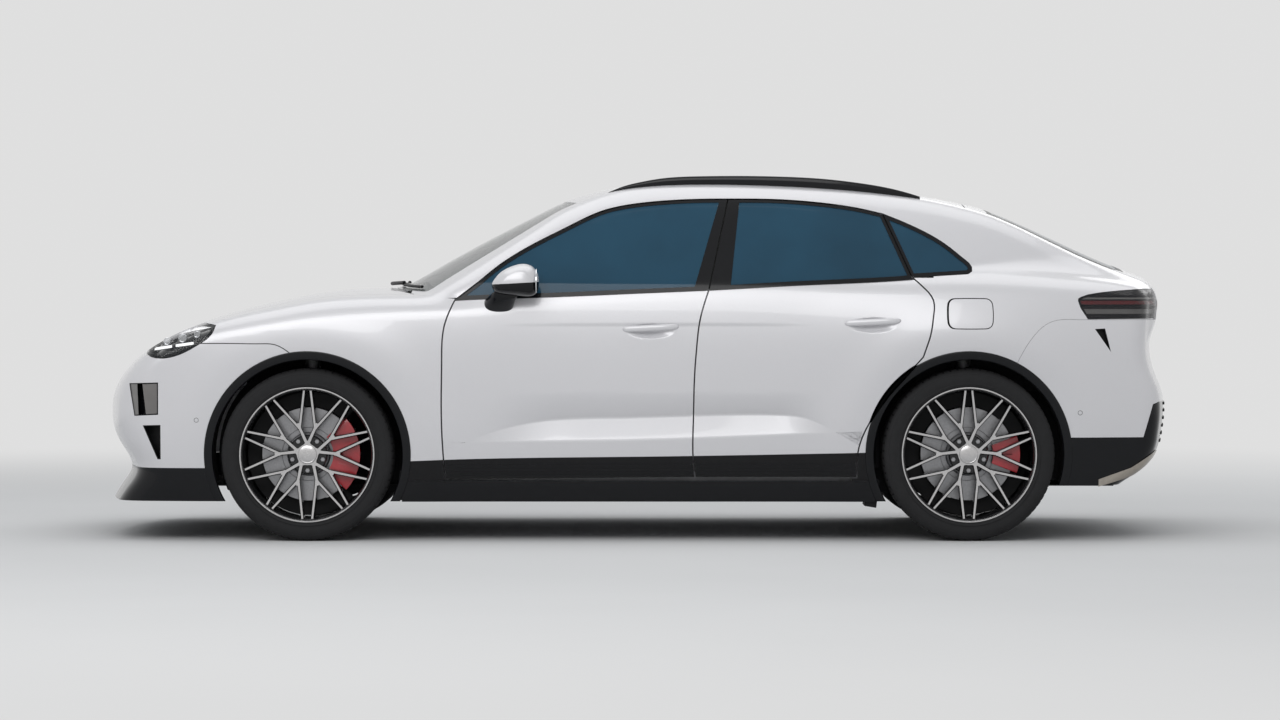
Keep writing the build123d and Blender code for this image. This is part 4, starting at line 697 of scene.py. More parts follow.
WHEEL_BRIGHT = material("wheel_bright", (0.56, 0.55, 0.55), 0.26, 1.0, 0.4, tone=(220, 0.06))
DISC_STEEL = material("disc_steel", (0.34, 0.34, 0.35), 0.36, 1.0, tone=(120, 0.1))
CAST = material("cast_metal", (0.28, 0.28, 0.29), 0.58, 0.85, tone=(35, 0.16), grain=(240, 0.3))
CALIPER_RED = material("caliper_red", (0.46, 0.014, 0.024), 0.3, 0.0, 0.8, tone=(45, 0.08),
                       grain=(500, 0.03))
STEEL = material("body_steel", (0.50, 0.50, 0.52), 0.45, 0.3, tone=(15, 0.08), grain=(300, 0.04))
BATTERY = material("battery_case", (0.42, 0.42, 0.44), 0.5, 0.8, tone=(12, 0.1), grain=(200, 0.1))
LEATHER = material("leather", (0.040, 0.039, 0.041), 0.48, tone=(40, 0.12), grain=(420, 0.22, 1))
CABIN = material("cabin_plastic", (0.036, 0.036, 0.038), 0.62, tone=(60, 0.12), grain=(700, 0.15, 1))
CARPET = material("carpet", (0.030, 0.030, 0.032), 0.95, tone=(200, 0.3), grain=(900, 1.2))
HEADLINER = material("headliner", (0.22, 0.215, 0.21), 0.9, tone=(150, 0.08), grain=(800, 0.25))
SCREEN = material("screen", (0.008, 0.009, 0.011), 0.08, coat=1.0, tone=(10, 0.1))
BRONZE = material("skid_trim", (0.45, 0.41, 0.36), 0.3, 1.0, tone=(60, 0.06))
MIRROR_FACE = material("mirror_face", (0.82, 0.84, 0.86), 0.02, 1.0, tone=(4, 0.02))

# ------------------------------------------------------------------ fixed body panels
CUT_END = 3000
FLAP_ROOM = 4.5

panel("front_fenders_skin", FENDER_WALL, rows(-2130, -780), np.linspace(50, 176, 70), PAINT,
      keep([(-CUT_END, 276), (-798, 276), *A_PILLAR_FOOT[::-1]]), drop(shifted(FRONT_DOOR, GAP)),
      drop(FRONT_BUMPER), drop(shifted(HEADLIGHT, LIP * 3)), drop(ribbon(FENDER_LINE, 4.0)),
      drop(HOOD_HOLE, "z"), drop(shifted(SHIELD, 30), "z"), drop(ARCH["front"]), both=True,
      nodes=["front_fenders"])
# The dark strip behind the fender's groove is painted shade: a dark sheet where the inside of the groove
# would be in shade.
panel("fender_groove", FENDER_WALL, rows(-1930, -1490, 8), np.linspace(80, 130, 60), SEAL_AND_GAP_SHADE,
      keep(ribbon(FENDER_LINE, 9.0)), inset=3.5, depth=3, both=True)
panel("hood_skin", hood_wall, rows(-2200, -960), rows(-775, 775), PAINT, keep(shifted(HOOD, -GAP), "z"),
      depth=20, on="hood", nodes=["hood"])

QUARTER_STATIONS = np.concatenate([rows(930, 2230), (2244, 2256, 2266, 2274, 2281, 2286)])
panel("quarter_panels_skin", QUARTER_WALL, QUARTER_STATIONS, np.linspace(50, 170, 80), PAINT,
      drop(shifted(REAR_DOOR, GAP)), drop(oblong(0, 1150, 1300, CUT_END)), drop(oblong(0, 0, 1500, 276)),
      drop(shifted(ROOF, LIP), "z"), drop(shifted(QUARTER_WINDOW, GAP)),
      drop(shifted(REAR_BUMPER, LIP * 3)), drop(shifted(TAIL_LIGHT, LIP * 2)), drop(CHARGE_DOOR),
      drop([(x - FLAP_ROOM, z) for x, z in CHARGE_DOOR]), drop(LID_HOLE, "z"), drop(ARCH["rear"]),
      depth=30, both=True, nodes=["quarter_panels"])
panel("roof_sides_skin", CANT_WALL, rows(-1000, 1300), np.linspace(96, 168, 44), PAINT,
      drop(shifted(WINDOWS, GAP)), drop(shifted(SHIELD, 4), "z"), drop(shifted(ROOF, LIP * 2), "z"),
      drop(HOOD_HOLE, "z"), keep([*A_PILLAR_FOOT, (CUT_END, 1210), (CUT_END, CUT_END), (-CUT_END, CUT_END)]),
      depth=30, both=True, nodes=["roof_sides"])
panel("roof_skin", top_wall, rows(-360, 1500), rows(-615, 615), PAINT, keep(ROOF, "z"), depth=15,
      nodes=["roof_panel"])

NOSE_LEVELS = np.concatenate([rows(318, 820, 16), rows(832, 870, 12)])
SENSOR_HOLE = 10.5
panel("front_bumper_skin", NOSE_WALL, NOSE_LEVELS, np.linspace(-84, 84, 150), PAINT, keep(FRONT_BUMPER),
      drop(shifted(BUMPER_LAMP, LIP)), drop(shifted(HEADLIGHT, LIP * 3)), drop(HOOD_HOLE, "z"),
      drop(ARCH["front"]), drop(shifted(LOWER_INTAKE, LIP)), drop(shifted(FRONT_GRILLE, LIP), "x"),
      drop(ring(SENSORS["front"], SENSOR_HOLE)), depth=22, nodes=["front_bumper"])
panel("rear_bumper_skin", TAIL_WALL, rows(452, 970, 16), np.linspace(87, 273, 172), PAINT,
      keep(REAR_BUMPER), drop(shifted(TAIL_LIGHT, LIP * 2)), drop(ARCH["rear"]),
      drop(oblong(-583, 700, 583, 1300), "x", 1800, CUT_END), drop(shifted(REAR_VENT, LIP)),
      drop(shifted(REAR_CORNER, LIP)), drop(ring(SENSORS["rear"], SENSOR_HOLE)), depth=22,
      nodes=["rear_bumper"])
panel("front_splitter_skin", NOSE_WALL, rows(172, 317, 12), np.linspace(-84, 84, 120), GLOSS_BLACK,
      keep(FRONT_BUMPER), drop(ARCH["front"]), depth=22, nodes=["front_splitter"])
panel("rear_diffuser_skin", TAIL_WALL, rows(242, 451, 12), np.linspace(87, 273, 130), GLOSS_BLACK,
      keep(REAR_BUMPER), drop(ARCH["rear"]), depth=22, nodes=["rear_diffuser"])

# ------------------------------------------------------------------ what the bumpers carry
FRONT_TURN = np.linspace(-84, 84, 170)
REAR_TURN = np.linspace(87, 273, 170)
VANE_LEVELS = (378, 408, 438, 468)
FIN_LEVELS = (425, 459, 493, 527, 561, 592)

place(pocket("bumper_lamp_house", NOSE_WALL, rows(535, 705, 8), FRONT_TURN, BUMPER_LAMP, 36, GLOSS_BLACK),
      "chassis", "bumper_lamps")
panel("bumper_lamp_pane", NOSE_WALL, rows(540, 700, 8), FRONT_TURN, LAMP_GLASS, keep(LAMP_WINDOW),
      inset=4, depth=3)
panel("bumper_lamp_panel", NOSE_WALL, rows(540, 700, 8), FRONT_TURN, LAMP_GREY, keep(LAMP_PANEL),
      inset=3, depth=6)
place(pocket("lower_intake", NOSE_WALL, rows(345, 515, 8), FRONT_TURN, LOWER_INTAKE, 60, GRAINED_BLACK),
      "chassis")
grille = pocket("front_grille", NOSE_WALL, rows(345, 508, 8), FRONT_TURN, FRONT_GRILLE, 50, GRAINED_BLACK,
                "x")
vanes = [sheet("vane", NOSE_WALL, [level - 4, level, level + 4], FRONT_TURN, SATIN_BLACK,
               keep(shifted(FRONT_GRILLE, -2), "x"), inset=6, depth=26) for level in VANE_LEVELS]
place(soften(joined("front_grille_vanes", *vanes), 40), "chassis")
place(grille, "chassis")
place(pocket("rear_vent", TAIL_WALL, rows(815, 940, 6), REAR_TURN, REAR_VENT, 30, SATIN_BLACK), "chassis")
panel("rear_panel", TAIL_WALL, rows(440, 608, 8), REAR_TURN, GLOSS_BLACK, keep(REAR_CORNER), inset=0.6,
      depth=20)
fins = [bevelled(sheet("fin", TAIL_WALL, [level - 6, level, level + 6], REAR_TURN, SATIN_BLACK,
                       keep(oblong(-560, 400, 560, 620), "x"), inset=-6, depth=22),
                 2) for level in FIN_LEVELS]
place(soften(joined("rear_fins", *fins), 40), "chassis")
panel("skid_trim", TAIL_WALL, rows(230, 400, 8), REAR_TURN, BRONZE, keep(SKID_TRIM), inset=-3, depth=9)
for end, wall, turn in (("front", NOSE_WALL, FRONT_TURN), ("rear", TAIL_WALL, REAR_TURN)):
    level = SENSORS[end][1]
    eye = sheet(f"{end}_sensor", wall, rows(level - 14, level + 14, 4), turn, PAINT,
                keep(ring(SENSORS[end], 8.6)), inset=0.6, depth=9)
    dark = sheet("dark", wall, rows(level - 18, level + 18, 4), turn, SEAL_AND_GAP_SHADE, keep(ring(SENSORS[end], 14)),
                 inset=5, depth=4)
    place(soften(joined(f"{end}_sensor_ring", eye, dark), 40), "chassis")

# ------------------------------------------------------------------ sills, mud flaps and wheelhouses, with painted shade behind the wheels
panel("sill_covers_skin", flank_wall, rows(-1030, 1040), rows(170, 261, 10), GLOSS_BLACK,
      drop(ARCH["front"]), drop(ARCH["rear"]), inset=2, depth=70, both=True, nodes=["sill_covers"])

feet = []
for first, last, outline, end in ((-1045, -830, FRONT_DOOR, "front"), (940, 1050, REAR_DOOR, "rear")):
    feet.append(sheet("foot", side_wall, rows(first, last, 10), rows(262, 400, 8), SATIN_BLACK,
                      keep(UNDER_PAINT), drop(shifted(outline, GAP)), drop(ARCH[end]), inset=-0.8, depth=5))
place(flow(both_sides(joined("sill_ends", *feet))), "chassis")

flaps = [plate("flap", [(-1056, 176), (-982, 176), (-974, 300), (-1040, 305)], -885, -735, GRAINED_BLACK),
         plate("flap", [(996, 150), (1048, 142), (1062, 262), (1010, 276)], -885, -720, GRAINED_BLACK)]
place(both_sides(joined("mud_flaps", *flaps)), "chassis")

# Dark felt discs behind the wheels: above the sill they are the wheelhouses' inner walls; lower down they
# are painted shade, a dark sheet where only the shade under the car would be seen through the spokes.
walls = []
for end, y, radius in (("front", 490, 430), ("rear", 556, 452)):
    hollow = [(x, max(z, 250.0 if x > 1790 else 196.0)) for x, z in ring((AXLE_X[end], HUB_Z), radius, 60)]
    walls.append(plate("wheelhouse", hollow, -y - 3, -y + 3, FELT))
place(both_sides(joined("wheelhouse_walls", *walls)), "chassis")

# ------------------------------------------------------------------ wipers
SHIELD_FOOT = curve((-742, -930), (-630, -985), (-440, -1052), (-220, -1090), (0, -1101), (220, -1090),
                    (440, -1052), (630, -985), (742, -930))
wipers = []
for first, last, pivot in ((-640, -30, -120), (-20, 560, 470)):
    y = np.linspace(first, last, 30)
    wipers.append(rod("blade", top_wall(SHIELD_FOOT(y) + 26, y, -9.0), 6.5, SATIN_BLACK))
    y = np.linspace(pivot, (first + last) / 2, 14)
    rise = 44 * np.linspace(0, 1, 14) - 22
    wipers.append(rod("arm", top_wall(SHIELD_FOOT(y) + rise, y, -19.0), 8.5, SATIN_BLACK))
place(joined("wipers", *wipers), "chassis")

# ------------------------------------------------------------------ tailgate and fixed glass
def lid_cuts():
    return keep(shifted(TAILGATE, -GAP), "z"), drop(REAR_GLASS, "z")


for name, wall, us, vs, cuts, nodes in (
        ("tailgate_top", top_wall, rows(1440, 1905), rows(-592, 592),
         [*lid_cuts(), keep(oblong(-600, 900, 600, 2500), "x", 0, LID_X)], ["tailgate"]),
        ("tailgate_rear", LID_WALL, rows(-590, 590), np.linspace(90, -32, 70),
         [keep(oblong(-577, 708, 577, 2500), "x", 0, CUT_END), *lid_cuts()], [])):
    lid = sheet(name, wall, us, vs, PAINT, *cuts, depth=24)
    place(flow(parted(lid, LID_FRAME, "z", SATIN_BLACK, PAINT)), "tailgate", *nodes)
panel("tailgate_glass_pane", top_wall, rows(1580, 2175, 30), rows(-560, 560, 30), GLASS_WITH_PAINTED_SKY,
      keep(shifted(REAR_GLASS, -LIP), "z"), inset=1, depth=4, on="tailgate", nodes=["tailgate_glass"])
panel("windshield_pane", top_wall, rows(-1110, -255, 24), rows(-745, 745, 24), SHIELD_GLASS,
      keep(SHIELD, "z"), inset=2, depth=5, nodes=["windshield"])

# ------------------------------------------------------------------ doors
BLADE_TOP = curve((-743, 436), (-599, 489), (-424, 529), (-100, 546), (244, 555), (624, 557), (733, 542),
                  (864, 479))
BLADE_LOW = curve((-743, 430), (0, 434), (864, 472))
SCOOP_TOP = 650.0
SCOOP_DEPTH = 27.0
HANDLES = {"front_door": (59.0, 931.0), "rear_door": (1029.0, 957.0)}
DOOR_FOOT = 255.0
DOOR_ROWS = np.unique(np.concatenate([np.linspace(0, 1, 9), np.linspace(1, 2, 9), np.linspace(2, 3, 38),
                                      np.linspace(2.58, 2.82, 34)]))
TRIM_WIDTH = 15.0
BELT_TRIM = 17.0
BOX_INSET = SKIN + 28
PILLAR_COVER = {"front_door": [(190, 900), (271 - GAP, 900), (424 - GAP, 1600), (396, 1600)],
                "rear_door": [(271 + GAP, 900), (385, 900), (465, 1600), (424 + GAP, 1600)]}
BELT_LINE = [(x, float(BELT(x)) - 10) for x in np.linspace(-1000, 1500, 40).tolist()]
BELT_LINE = [(-CUT_END, BELT_LINE[0][1]), *BELT_LINE, (CUT_END, BELT_LINE[-1][1])]


def scoop(x, z):
    """How far the doors are drawn in above the blade."""
    ends = np.clip((x + 743) / 420, 0, 1) * np.clip((864 - x) / 260, 0, 1)
    ends = ends * ends * (3 - 2 * ends)
    top = BLADE_TOP(x)
    low = BLADE_LOW(x)
    above = np.clip((SCOOP_TOP - z) / (SCOOP_TOP - top), 0, 1)
    below = np.clip((z - low) / np.maximum(top - low, 4), 0, 1)
    return SCOOP_DEPTH * ends * np.where(z > top, above**1.6, below**0.9)


def cup(x, z):
    """The dish that a hand goes into behind each handle."""
    return sum(15 * np.clip(1 - (((x - hx) / 105) ** 2 + ((z - hz + 14) / 34) ** 2), 0, 1) ** 1.3
               for hx, hz in HANDLES.values())


def sunk(x, z):
    return scoop(x, z) + cup(x, z)


def door_wall(x, row, inset=0.0):
    """Rows are 0 at the door's foot, 1 along the blade's foot, 2 along its top and 3 at the belt."""
    low = BLADE_LOW(x)
    top = BLADE_TOP(x)
    z = np.where(row < 1, DOOR_FOOT + (low - DOOR_FOOT) * row,
                 np.where(row < 2, low + (top - low) * (row - 1), top + (BELT(x) - 2 - top) * (row - 2)))
    at = side_wall(x, z, inset)
    at[..., 1] += sunk(x, z)
    return at


def door_direction(points):
    """The outward direction of the drawn-in doors, taken on the near side of the blade's crease."""
    x, z = points[:, 0], points[:, 2]
    d = 1.5
    here = sunk(x, z)
    true = outward(points)
    true = true / np.maximum(np.abs(true[:, 1:2]), 0.2)
    true[:, 0] += (sunk(x + d, z) - here) / d
    true[:, 2] += np.where(z > BLADE_TOP(x) - 0.5, sunk(x, z + d) - here, here - sunk(x, z - d)) / d
    true[:, 1] = np.sign(points[:, 1])
    return true / np.linalg.norm(true, axis=1, keepdims=True)


def window_direction(points):
    d = 1.0
    x, z = points[:, 0], points[:, 2]
    true = np.stack([-(belt_width(x + d) - belt_width(x - d)) / (2 * d), np.sign(points[:, 1]),
                     (lean(z + d) - lean(z - d)) / (2 * d)], -1)
    return true / np.linalg.norm(true, axis=1, keepdims=True)


def window_hole(outline, margin):
    """The window's clear opening: the outline drawn in, and nothing below the belt."""
    inner = shifted(outline, -margin)
    dense = []
    for (ax, az), (bx, bz) in zip(inner, inner[1:] + inner[:1]):
        count = max(1, int(math.hypot(bx - ax, bz - az) / 6))
        dense += [(ax + (bx - ax) * k / count, az + (bz - az) * k / count) for k in range(count)]
    clear = [z > float(BELT(x)) + BELT_TRIM - 3 for x, z in dense]
    first = next(i for i in range(len(dense)) if clear[i] and not clear[i - 1])
    above = [p for p, free in zip(dense[first:] + dense[:first], clear[first:] + clear[:first]) if free]
    foot = np.linspace(above[-1][0], above[0][0], 24)[1:-1].tolist()
    return above + [(x, float(BELT(x)) + BELT_TRIM - 3) for x in foot]


def door_columns(first, last, handle):
    fine = np.arange(handle - 125, handle + 126, 7.0)
    return np.unique(np.concatenate([rows(first, handle - 140, 18), fine, rows(handle + 140, last, 18)]))


def make_door(kind, outline, first, last):
    """A left door: its skin, inner box, window frame, glass, post cover and cladding."""
    def off_arch(gap):
        return [drop(shifted(ARCH["rear"], gap))] if kind == "rear_door" else []

    def inside(less=0.0):
        return keep(shifted(outline, -GAP - less))

    columns = door_columns(first, last, HANDLES[kind][0])
    across, levels = rows(first, last, 24), rows(1045, 1520, 24)
    hole = window_hole(outline, TRIM_WIDTH)
    clear = shifted(hole, 2.0)
    skin = sheet(f"{kind}_skin", door_wall, columns, DOOR_ROWS, PAINT, inside(), *off_arch(PANEL_GAP))
    flow(skin, door_direction, 0.6)
    hem = sheet(f"{kind}_hem", door_wall, columns, DOOR_ROWS, PAINT, inside(LIP),
                drop(shifted(outline, -GAP - 14)), *off_arch(PANEL_GAP + LIP), inset=SKIN - 0.4, depth=26)
    box = sheet(f"{kind}_box", side_wall, rows(first, last, 40), rows(290, 1060, 40), CABIN,
                keep(shifted(outline, -12)), keep([(-CUT_END, 0), (CUT_END, 0), *BELT_LINE[::-1]]),
                *off_arch(22), inset=BOX_INSET, depth=40)
    box = soften(joined(f"{kind}_box", hem, box), 50)
    frame_wall = sheet(f"{kind}_frame", window_wall, across, levels, GLOSS_BLACK, inside(), drop(hole),
                       drop(BELT_LINE + [(CUT_END, 0), (-CUT_END, 0)]), inset=0.5, depth=18)
    pane = sheet(f"{kind}_pane", window_wall, rows(first, last, 30), rows(1045, 1520, 30), GLASS_WITH_PAINTED_SKY,
                 keep(clear), drop(PILLAR_COVER[kind]), inset=3, depth=4)
    post = sheet(f"{kind}_post", window_wall, across, levels, GLOSS_BLACK,
                 keep(shifted(PILLAR_COVER[kind], -LIP)), keep(clear), inset=0.8, depth=14)
    line = [(x, float(BELT(x))) for x in np.linspace(-900, 1500, 60).tolist()]
    strip = [(x, z - 3) for x, z in line] + [(x, z + BELT_TRIM) for x, z in reversed(line)]
    belt = sheet(f"{kind}_belt", side_wall, across, rows(1020, 1190, 8), GLOSS_BLACK, keep(strip), inside(),
                 inset=-1.6, depth=12)
    post = joined(f"{kind}_post", post, belt)
    for piece in (frame_wall, pane, post):
        flow(piece, window_direction)
    clad = [sheet("clad", side_wall, across, rows(258, 400, 12), SATIN_BLACK, inside(), keep(UNDER_PAINT),
                  *off_arch(PANEL_GAP + LIP), inset=-0.8, depth=6)]
    for level in (286, 302, 318, 334):
        clad.append(sheet("rib", side_wall, rows(first, last, 30), [level - 2, level, level + 2],
                          GLOSS_BLACK, inside(6), keep(UNDER_PAINT), *off_arch(PANEL_GAP + LIP),
                          inset=-2.2, depth=5))
    return skin, box, frame_wall, pane, post, flow(joined(f"{kind}_clad", *clad))


def handle_bar(kind):
    """A long rounded grip standing off the door over its dish."""
    hx, hz = HANDLES[kind]
    along = np.linspace(-1, 1, 33)
    around = np.linspace(0, 2 * math.pi, 21)[:-1]
    t, a = np.meshgrid(along, around, indexing="ij")
    half = 0.35 + 0.65 * np.sqrt(np.clip(1 - np.abs(t) ** 6, 0, 1))
    x = hx + 122 * t
    z = hz + 6 * t + 13.5 * half * np.sin(a)
    bow = 13 * (1 - np.abs(t) ** 3)
    y = side_wall(x, np.full_like(x, hz))[..., 1] - 1 - bow - 8.0 * half * np.cos(a)
    return soften(dress(swept(f"{kind}_handle", np.stack([x, y, z], -1)), PAINT), 60)


def door_finish(stem):
    """How a door's piece is shaded, by its name."""
    if "skin" in stem:
        return lambda piece: flow(piece, door_direction, 0.6)
    if "box" in stem or "handle" in stem:
        return lambda piece: soften(piece, 60)
    return flow if "clad" in stem else lambda piece: flow(piece, window_direction)


DOORS = {"front_door": (FRONT_DOOR, -862, 450), "rear_door": (REAR_DOOR, 200, 1340)}
for kind, made_of in DOORS.items():
    for piece in [*make_door(kind, *made_of), handle_bar(kind)]:
        stem = piece.name
        node_stem = {"skin": kind, "pane": f"{kind}_glass"}.get(stem.split("_")[-1])
        for side, part in pair(piece, stem, door_finish(stem)).items():
            place(part, f"{kind}_{side}", *([f"{node_stem}_{side}"] if node_stem else []))

seals = []
for line in ([(316, 1104), (402, 1494)], [(1087, 1428), (1203, 1160)]):
    across = rows(line[0][0] - 30, line[1][0] + 30, 20)
    seals.append(sheet("seal", window_wall, across, rows(1090, 1510, 24), SEAL_AND_GAP_SHADE, keep(ribbon(line, 40)),
                       inset=24, depth=3))
place(flow(both_sides(joined("post_seals", *seals)), window_direction), "chassis")
for name, look, depths, nodes in (("quarter_glass_pane", GLASS_WITH_PAINTED_SKY, {"inset": 3, "depth": 4},
                                   ["quarter_glass"]), ("quarter_window_trim", GLOSS_BLACK,
                                                        {"inset": 0, "depth": 12}, [])):
    cuts = [] if nodes else [drop(shifted(QUARTER_WINDOW, -TRIM_WIDTH))]
    panel(name, window_wall, rows(1060, 1490, 24), rows(1100, 1480, 24), look,
          keep(shifted(QUARTER_WINDOW, GAP - LIP)), drop(shifted(REAR_DOOR, GAP)), *cuts, both=True,
          nodes=nodes, direction=window_direction, **depths)

flap = sheet("charge_door_skin_left", side_wall, rows(1340, 1570, 10), rows(905, 1078, 10), PAINT,
             keep(shifted(CHARGE_DOOR, -4)), depth=4)
for side, part in pair(flap, "charge_door_skin", flow).items():
    place(part, f"charge_door_{side}", f"charge_door_{side}")

# ------------------------------------------------------------------ wheels and brakes
RIM_LIP = 14.0
SPOKE_DEPTH = 40.0
SPOKE_INSET = 16.0
DISH = 9.0
CHAMFER = 3.0
NODE_RADIUS = 127.0
NODE_TURN = 16.5
SPOKE_END = 283.0
ARM_START = 52.0
SPOKE_FLARE = 5.5
RIM_WALL = 290.4
LIP_OUT = {end: wide / 2 - RIM_LIP for end, wide in TYRE_WIDTH.items()}
FACE_OUT = {end: out - SPOKE_INSET for end, out in LIP_OUT.items()}
CALIPER_FRONT = {end: out - SPOKE_DEPTH - 5.5 for end, out in FACE_OUT.items()}
CALIPER_BACK = -62.0
CALIPER_SWEEP = {"front": 42.6, "rear": 20.6}
LUG_CIRCLE = 70.0
GROOVES = (-72.0, -26.0, 26.0, 72.0)
PITCHES = 72


def on_wheel(end, points):
    """Points given as (forward, out, up) from a left wheel's middle, as points of the car."""
    p = np.asarray(points, float)
    return np.stack([AXLE_X[end] + p[..., 0], -HALF_TRACK[end] - p[..., 1], HUB_Z + p[..., 2]], -1)


def turned(name, end, profile, look, steps=120):
    """A closed profile of (out, radius) points turned about a wheel's axle."""
    p = np.array(profile, float)
    a = np.linspace(0, 2 * math.pi, steps, endpoint=False)[:, None]
    rings = np.stack([p[:, 1] * np.cos(a), np.broadcast_to(p[:, 0], (steps, len(p))), p[:, 1] * np.sin(a)],
                     -1)
    return dress(swept(name, on_wheel(end, rings), closed=True), look)


def polar(radius, degrees):
    return np.array([radius * math.cos(math.radians(degrees)), radius * math.sin(math.radians(degrees))])


def machined(piece, steep, inner):
    """Bright metal on the faces that look out and lie further out than a distance, on dark paint."""
    piece.data.materials.append(WHEEL_BRIGHT)
    for polygon in piece.data.polygons:
        if -polygon.normal.y > steep and -polygon.center.y / MM > inner:
            polygon.material_index = 1
    return piece


def spoke(end, start, stop, start_width, stop_width):
    """A spoke between two places on the wheel: a narrow machined face over a wider dark root."""
    face = FACE_OUT[end]
    run = stop - start
    side = np.array([-run[1], run[0]]) / np.hypot(*run)
    rings = []
    for t in np.linspace(0, 1, 9).tolist():
        at = start + run * t
        half = (start_width + (stop_width - start_width) * t) / 2
        top = face - DISH * (1 - (np.hypot(*at) / SPOKE_END) ** 2)
        section = [(half + SPOKE_FLARE, face - SPOKE_DEPTH), (half + CHAMFER, top - CHAMFER - 1),
                   (half, top)]
        section = [(-across, out) for across, out in section] + section[::-1]
        rings.append([(x, out, z) for (x, z), out in ((at + side * across, out) for across, out in section)])
    return swept("spoke", on_wheel(end, rings))


def star(end):
    """The five-cornered middle of the wheel."""
    top = FACE_OUT[end] - DISH * 0.96
    angle = np.radians(np.arange(0, 360, 4))
    radius = 49 + 15 * (0.5 + 0.5 * np.cos(5 * (angle - math.pi / 2))) ** 3
    rings = []
    for out, less in ((FACE_OUT[end] - SPOKE_DEPTH, -3), (top - CHAMFER, -1), (top, CHAMFER)):
        r = radius - less
        rings.append(np.stack([r * np.cos(angle), np.full(len(angle), out), r * np.sin(angle)], -1))
    return swept("star", on_wheel(end, rings))


def wheel_face(end):
    """Five pairs of arms from the star, each forking in two at its node, as one solid."""
    tools = []
    for arm in range(90, 450, 72):
        for hand in (-1, 1):
            turn = arm + hand * NODE_TURN
            fork = polar(NODE_RADIUS - 8, turn)
            for start, stop, widths in (
                    (polar(ARM_START, arm + hand * 5), polar(NODE_RADIUS, turn), (12.5, 11.0)),
                    (fork, polar(SPOKE_END, arm + hand * 2.9), (9.5, 8.0)),
                    (fork, polar(SPOKE_END, arm + hand * 31.7), (9.5, 8.0)),
                    (fork, polar(NODE_RADIUS + 16, turn + hand), (15.0, 11.0))):
                tools.append(spoke(end, start, stop, *widths))
    face = dress(carved(star(end), *(("UNION", tool) for tool in tools)), WHEEL_BLACK)
    machined(face, 0.93, HALF_TRACK[end] + FACE_OUT[end] - DISH - 1.5)
    face.data.shade_flat()
    return face


def wheel_barrel(end):
    lip, wall = LIP_OUT[end], RIM_WALL
    edge = wall + 6
    barrel = turned("barrel", end, [(-lip - 8, wall - 10), (-lip - 8, edge), (-lip, edge), (-lip, wall),
                                    (-lip + 30, wall - 2), (lip - 40, wall - 4), (lip, wall), (lip, edge),
                                    (lip + 5, edge), (lip + 8, edge - 1.5), (lip + 8, wall - 0.5),
                                    (lip + 5, wall - 3), (lip + 1, wall - 4), (lip + 1, wall - 6),
                                    (lip - 4, wall - 9), (lip - 14, wall - 10.5), (lip - 60, wall - 13),
                                    (-lip + 30, wall - 14)], WHEEL_BLACK, 160)
    return soften(machined(barrel, 0.3, HALF_TRACK[end] + lip + 2), 28)


def wheel_middle(end):
    """Hub pad, lug bolts and the blank cap."""
    face = FACE_OUT[end]
    hub = turned("pad", end, [(-36, 30), (-36, 84), (face - 30, 86), (face - 24, 82), (face - 22, 30)],
                 WHEEL_BLACK, 72)
    cap = turned("cap", end, [(face - 20, 1), (face - 20, 40), (face - 9, 41.5), (face - 6.5, 39.5),
                              (face - 5.2, 36), (face - 5.8, 34.5), (face - 4.6, 31), (face - 3.4, 16),
                              (face - 3, 1)], WHEEL_BRIGHT, 64)
    parts = [soften(hub, 30), soften(cap, 40)]
    for turn in range(126, 486, 72):
        rings = [[(x, out, z) for x, z in ring(polar(LUG_CIRCLE, turn), r, 6)]
                 for out, r in ((face - 30, 11.5), (face - 19, 11.5), (face - 17, 9.5))]
        parts.append(dress(swept("lug", on_wheel(end, rings)), DISC_STEEL))
    return joined("middle", *parts)


def brake_disc(end):
    hat = turned("hat", end, [(-24, 62), (-24, 96), (-4, 98), (12, 96), (20, 90), (22, 60)], CAST, 72)
    rotor = turned("rotor", end, [(-24, 94), (-24, 204), (-23, 205), (-13, 205), (-12, 204), (-12, 196),
                                  (-2, 196), (-2, 204), (-1, 205), (9, 205), (10, 204), (10, 118),
                                  (8.5, 116), (8.5, 94)], DISC_STEEL)
    return joined("disc", soften(hat, 30), soften(rotor, 30))


def arc(name, end, inner, outer, first, last, low, high, count=14):
    """Part of a flat ring about a wheel's axle, between two turns and two distances out."""
    turn = np.linspace(first, last, count)
    line = [polar(outer, t) for t in turn.tolist()] + [polar(inner, t) for t in turn[::-1].tolist()]
    return swept(name, on_wheel(end, [[(x, out, z) for x, z in line] for out in (low, high)]))


def dust_shield(end, sweep):
    """A pressed steel shield round the disc, open where the caliper sits."""
    shield = arc("shield", end, 208, 271, sweep + 1.5, 358.5 - sweep, -33, -30, 90)
    return soften(dress(shield, GRAINED_BLACK), 30)


def caliper(end, sweep):
    """A brake caliper over the disc, with raised ribs."""
    back, front = CALIPER_BACK, CALIPER_FRONT[end]
    parts = [(118, 226, 0.5 - sweep, sweep - 0.5, back, -30),
             (110.2, 228.6, -0.5 - sweep, sweep + 0.5, 16, front + 0.25),
             (211.5, 227.6, 0.5 - sweep, sweep - 0.5, back, front - 8)]
    count = 3 if sweep > 30 else 2
    for k in range(count):
        middle = (k - (count - 1) / 2) * 2 * (sweep - 9) / count
        parts.append((134, 196, middle - 7, middle + 7, front - 4, front + 0.5))
    return joined("caliper", *[bevelled(dress(arc("caliper", end, *part), CALIPER_RED), 2.2, 2, 30)
                               for part in parts])


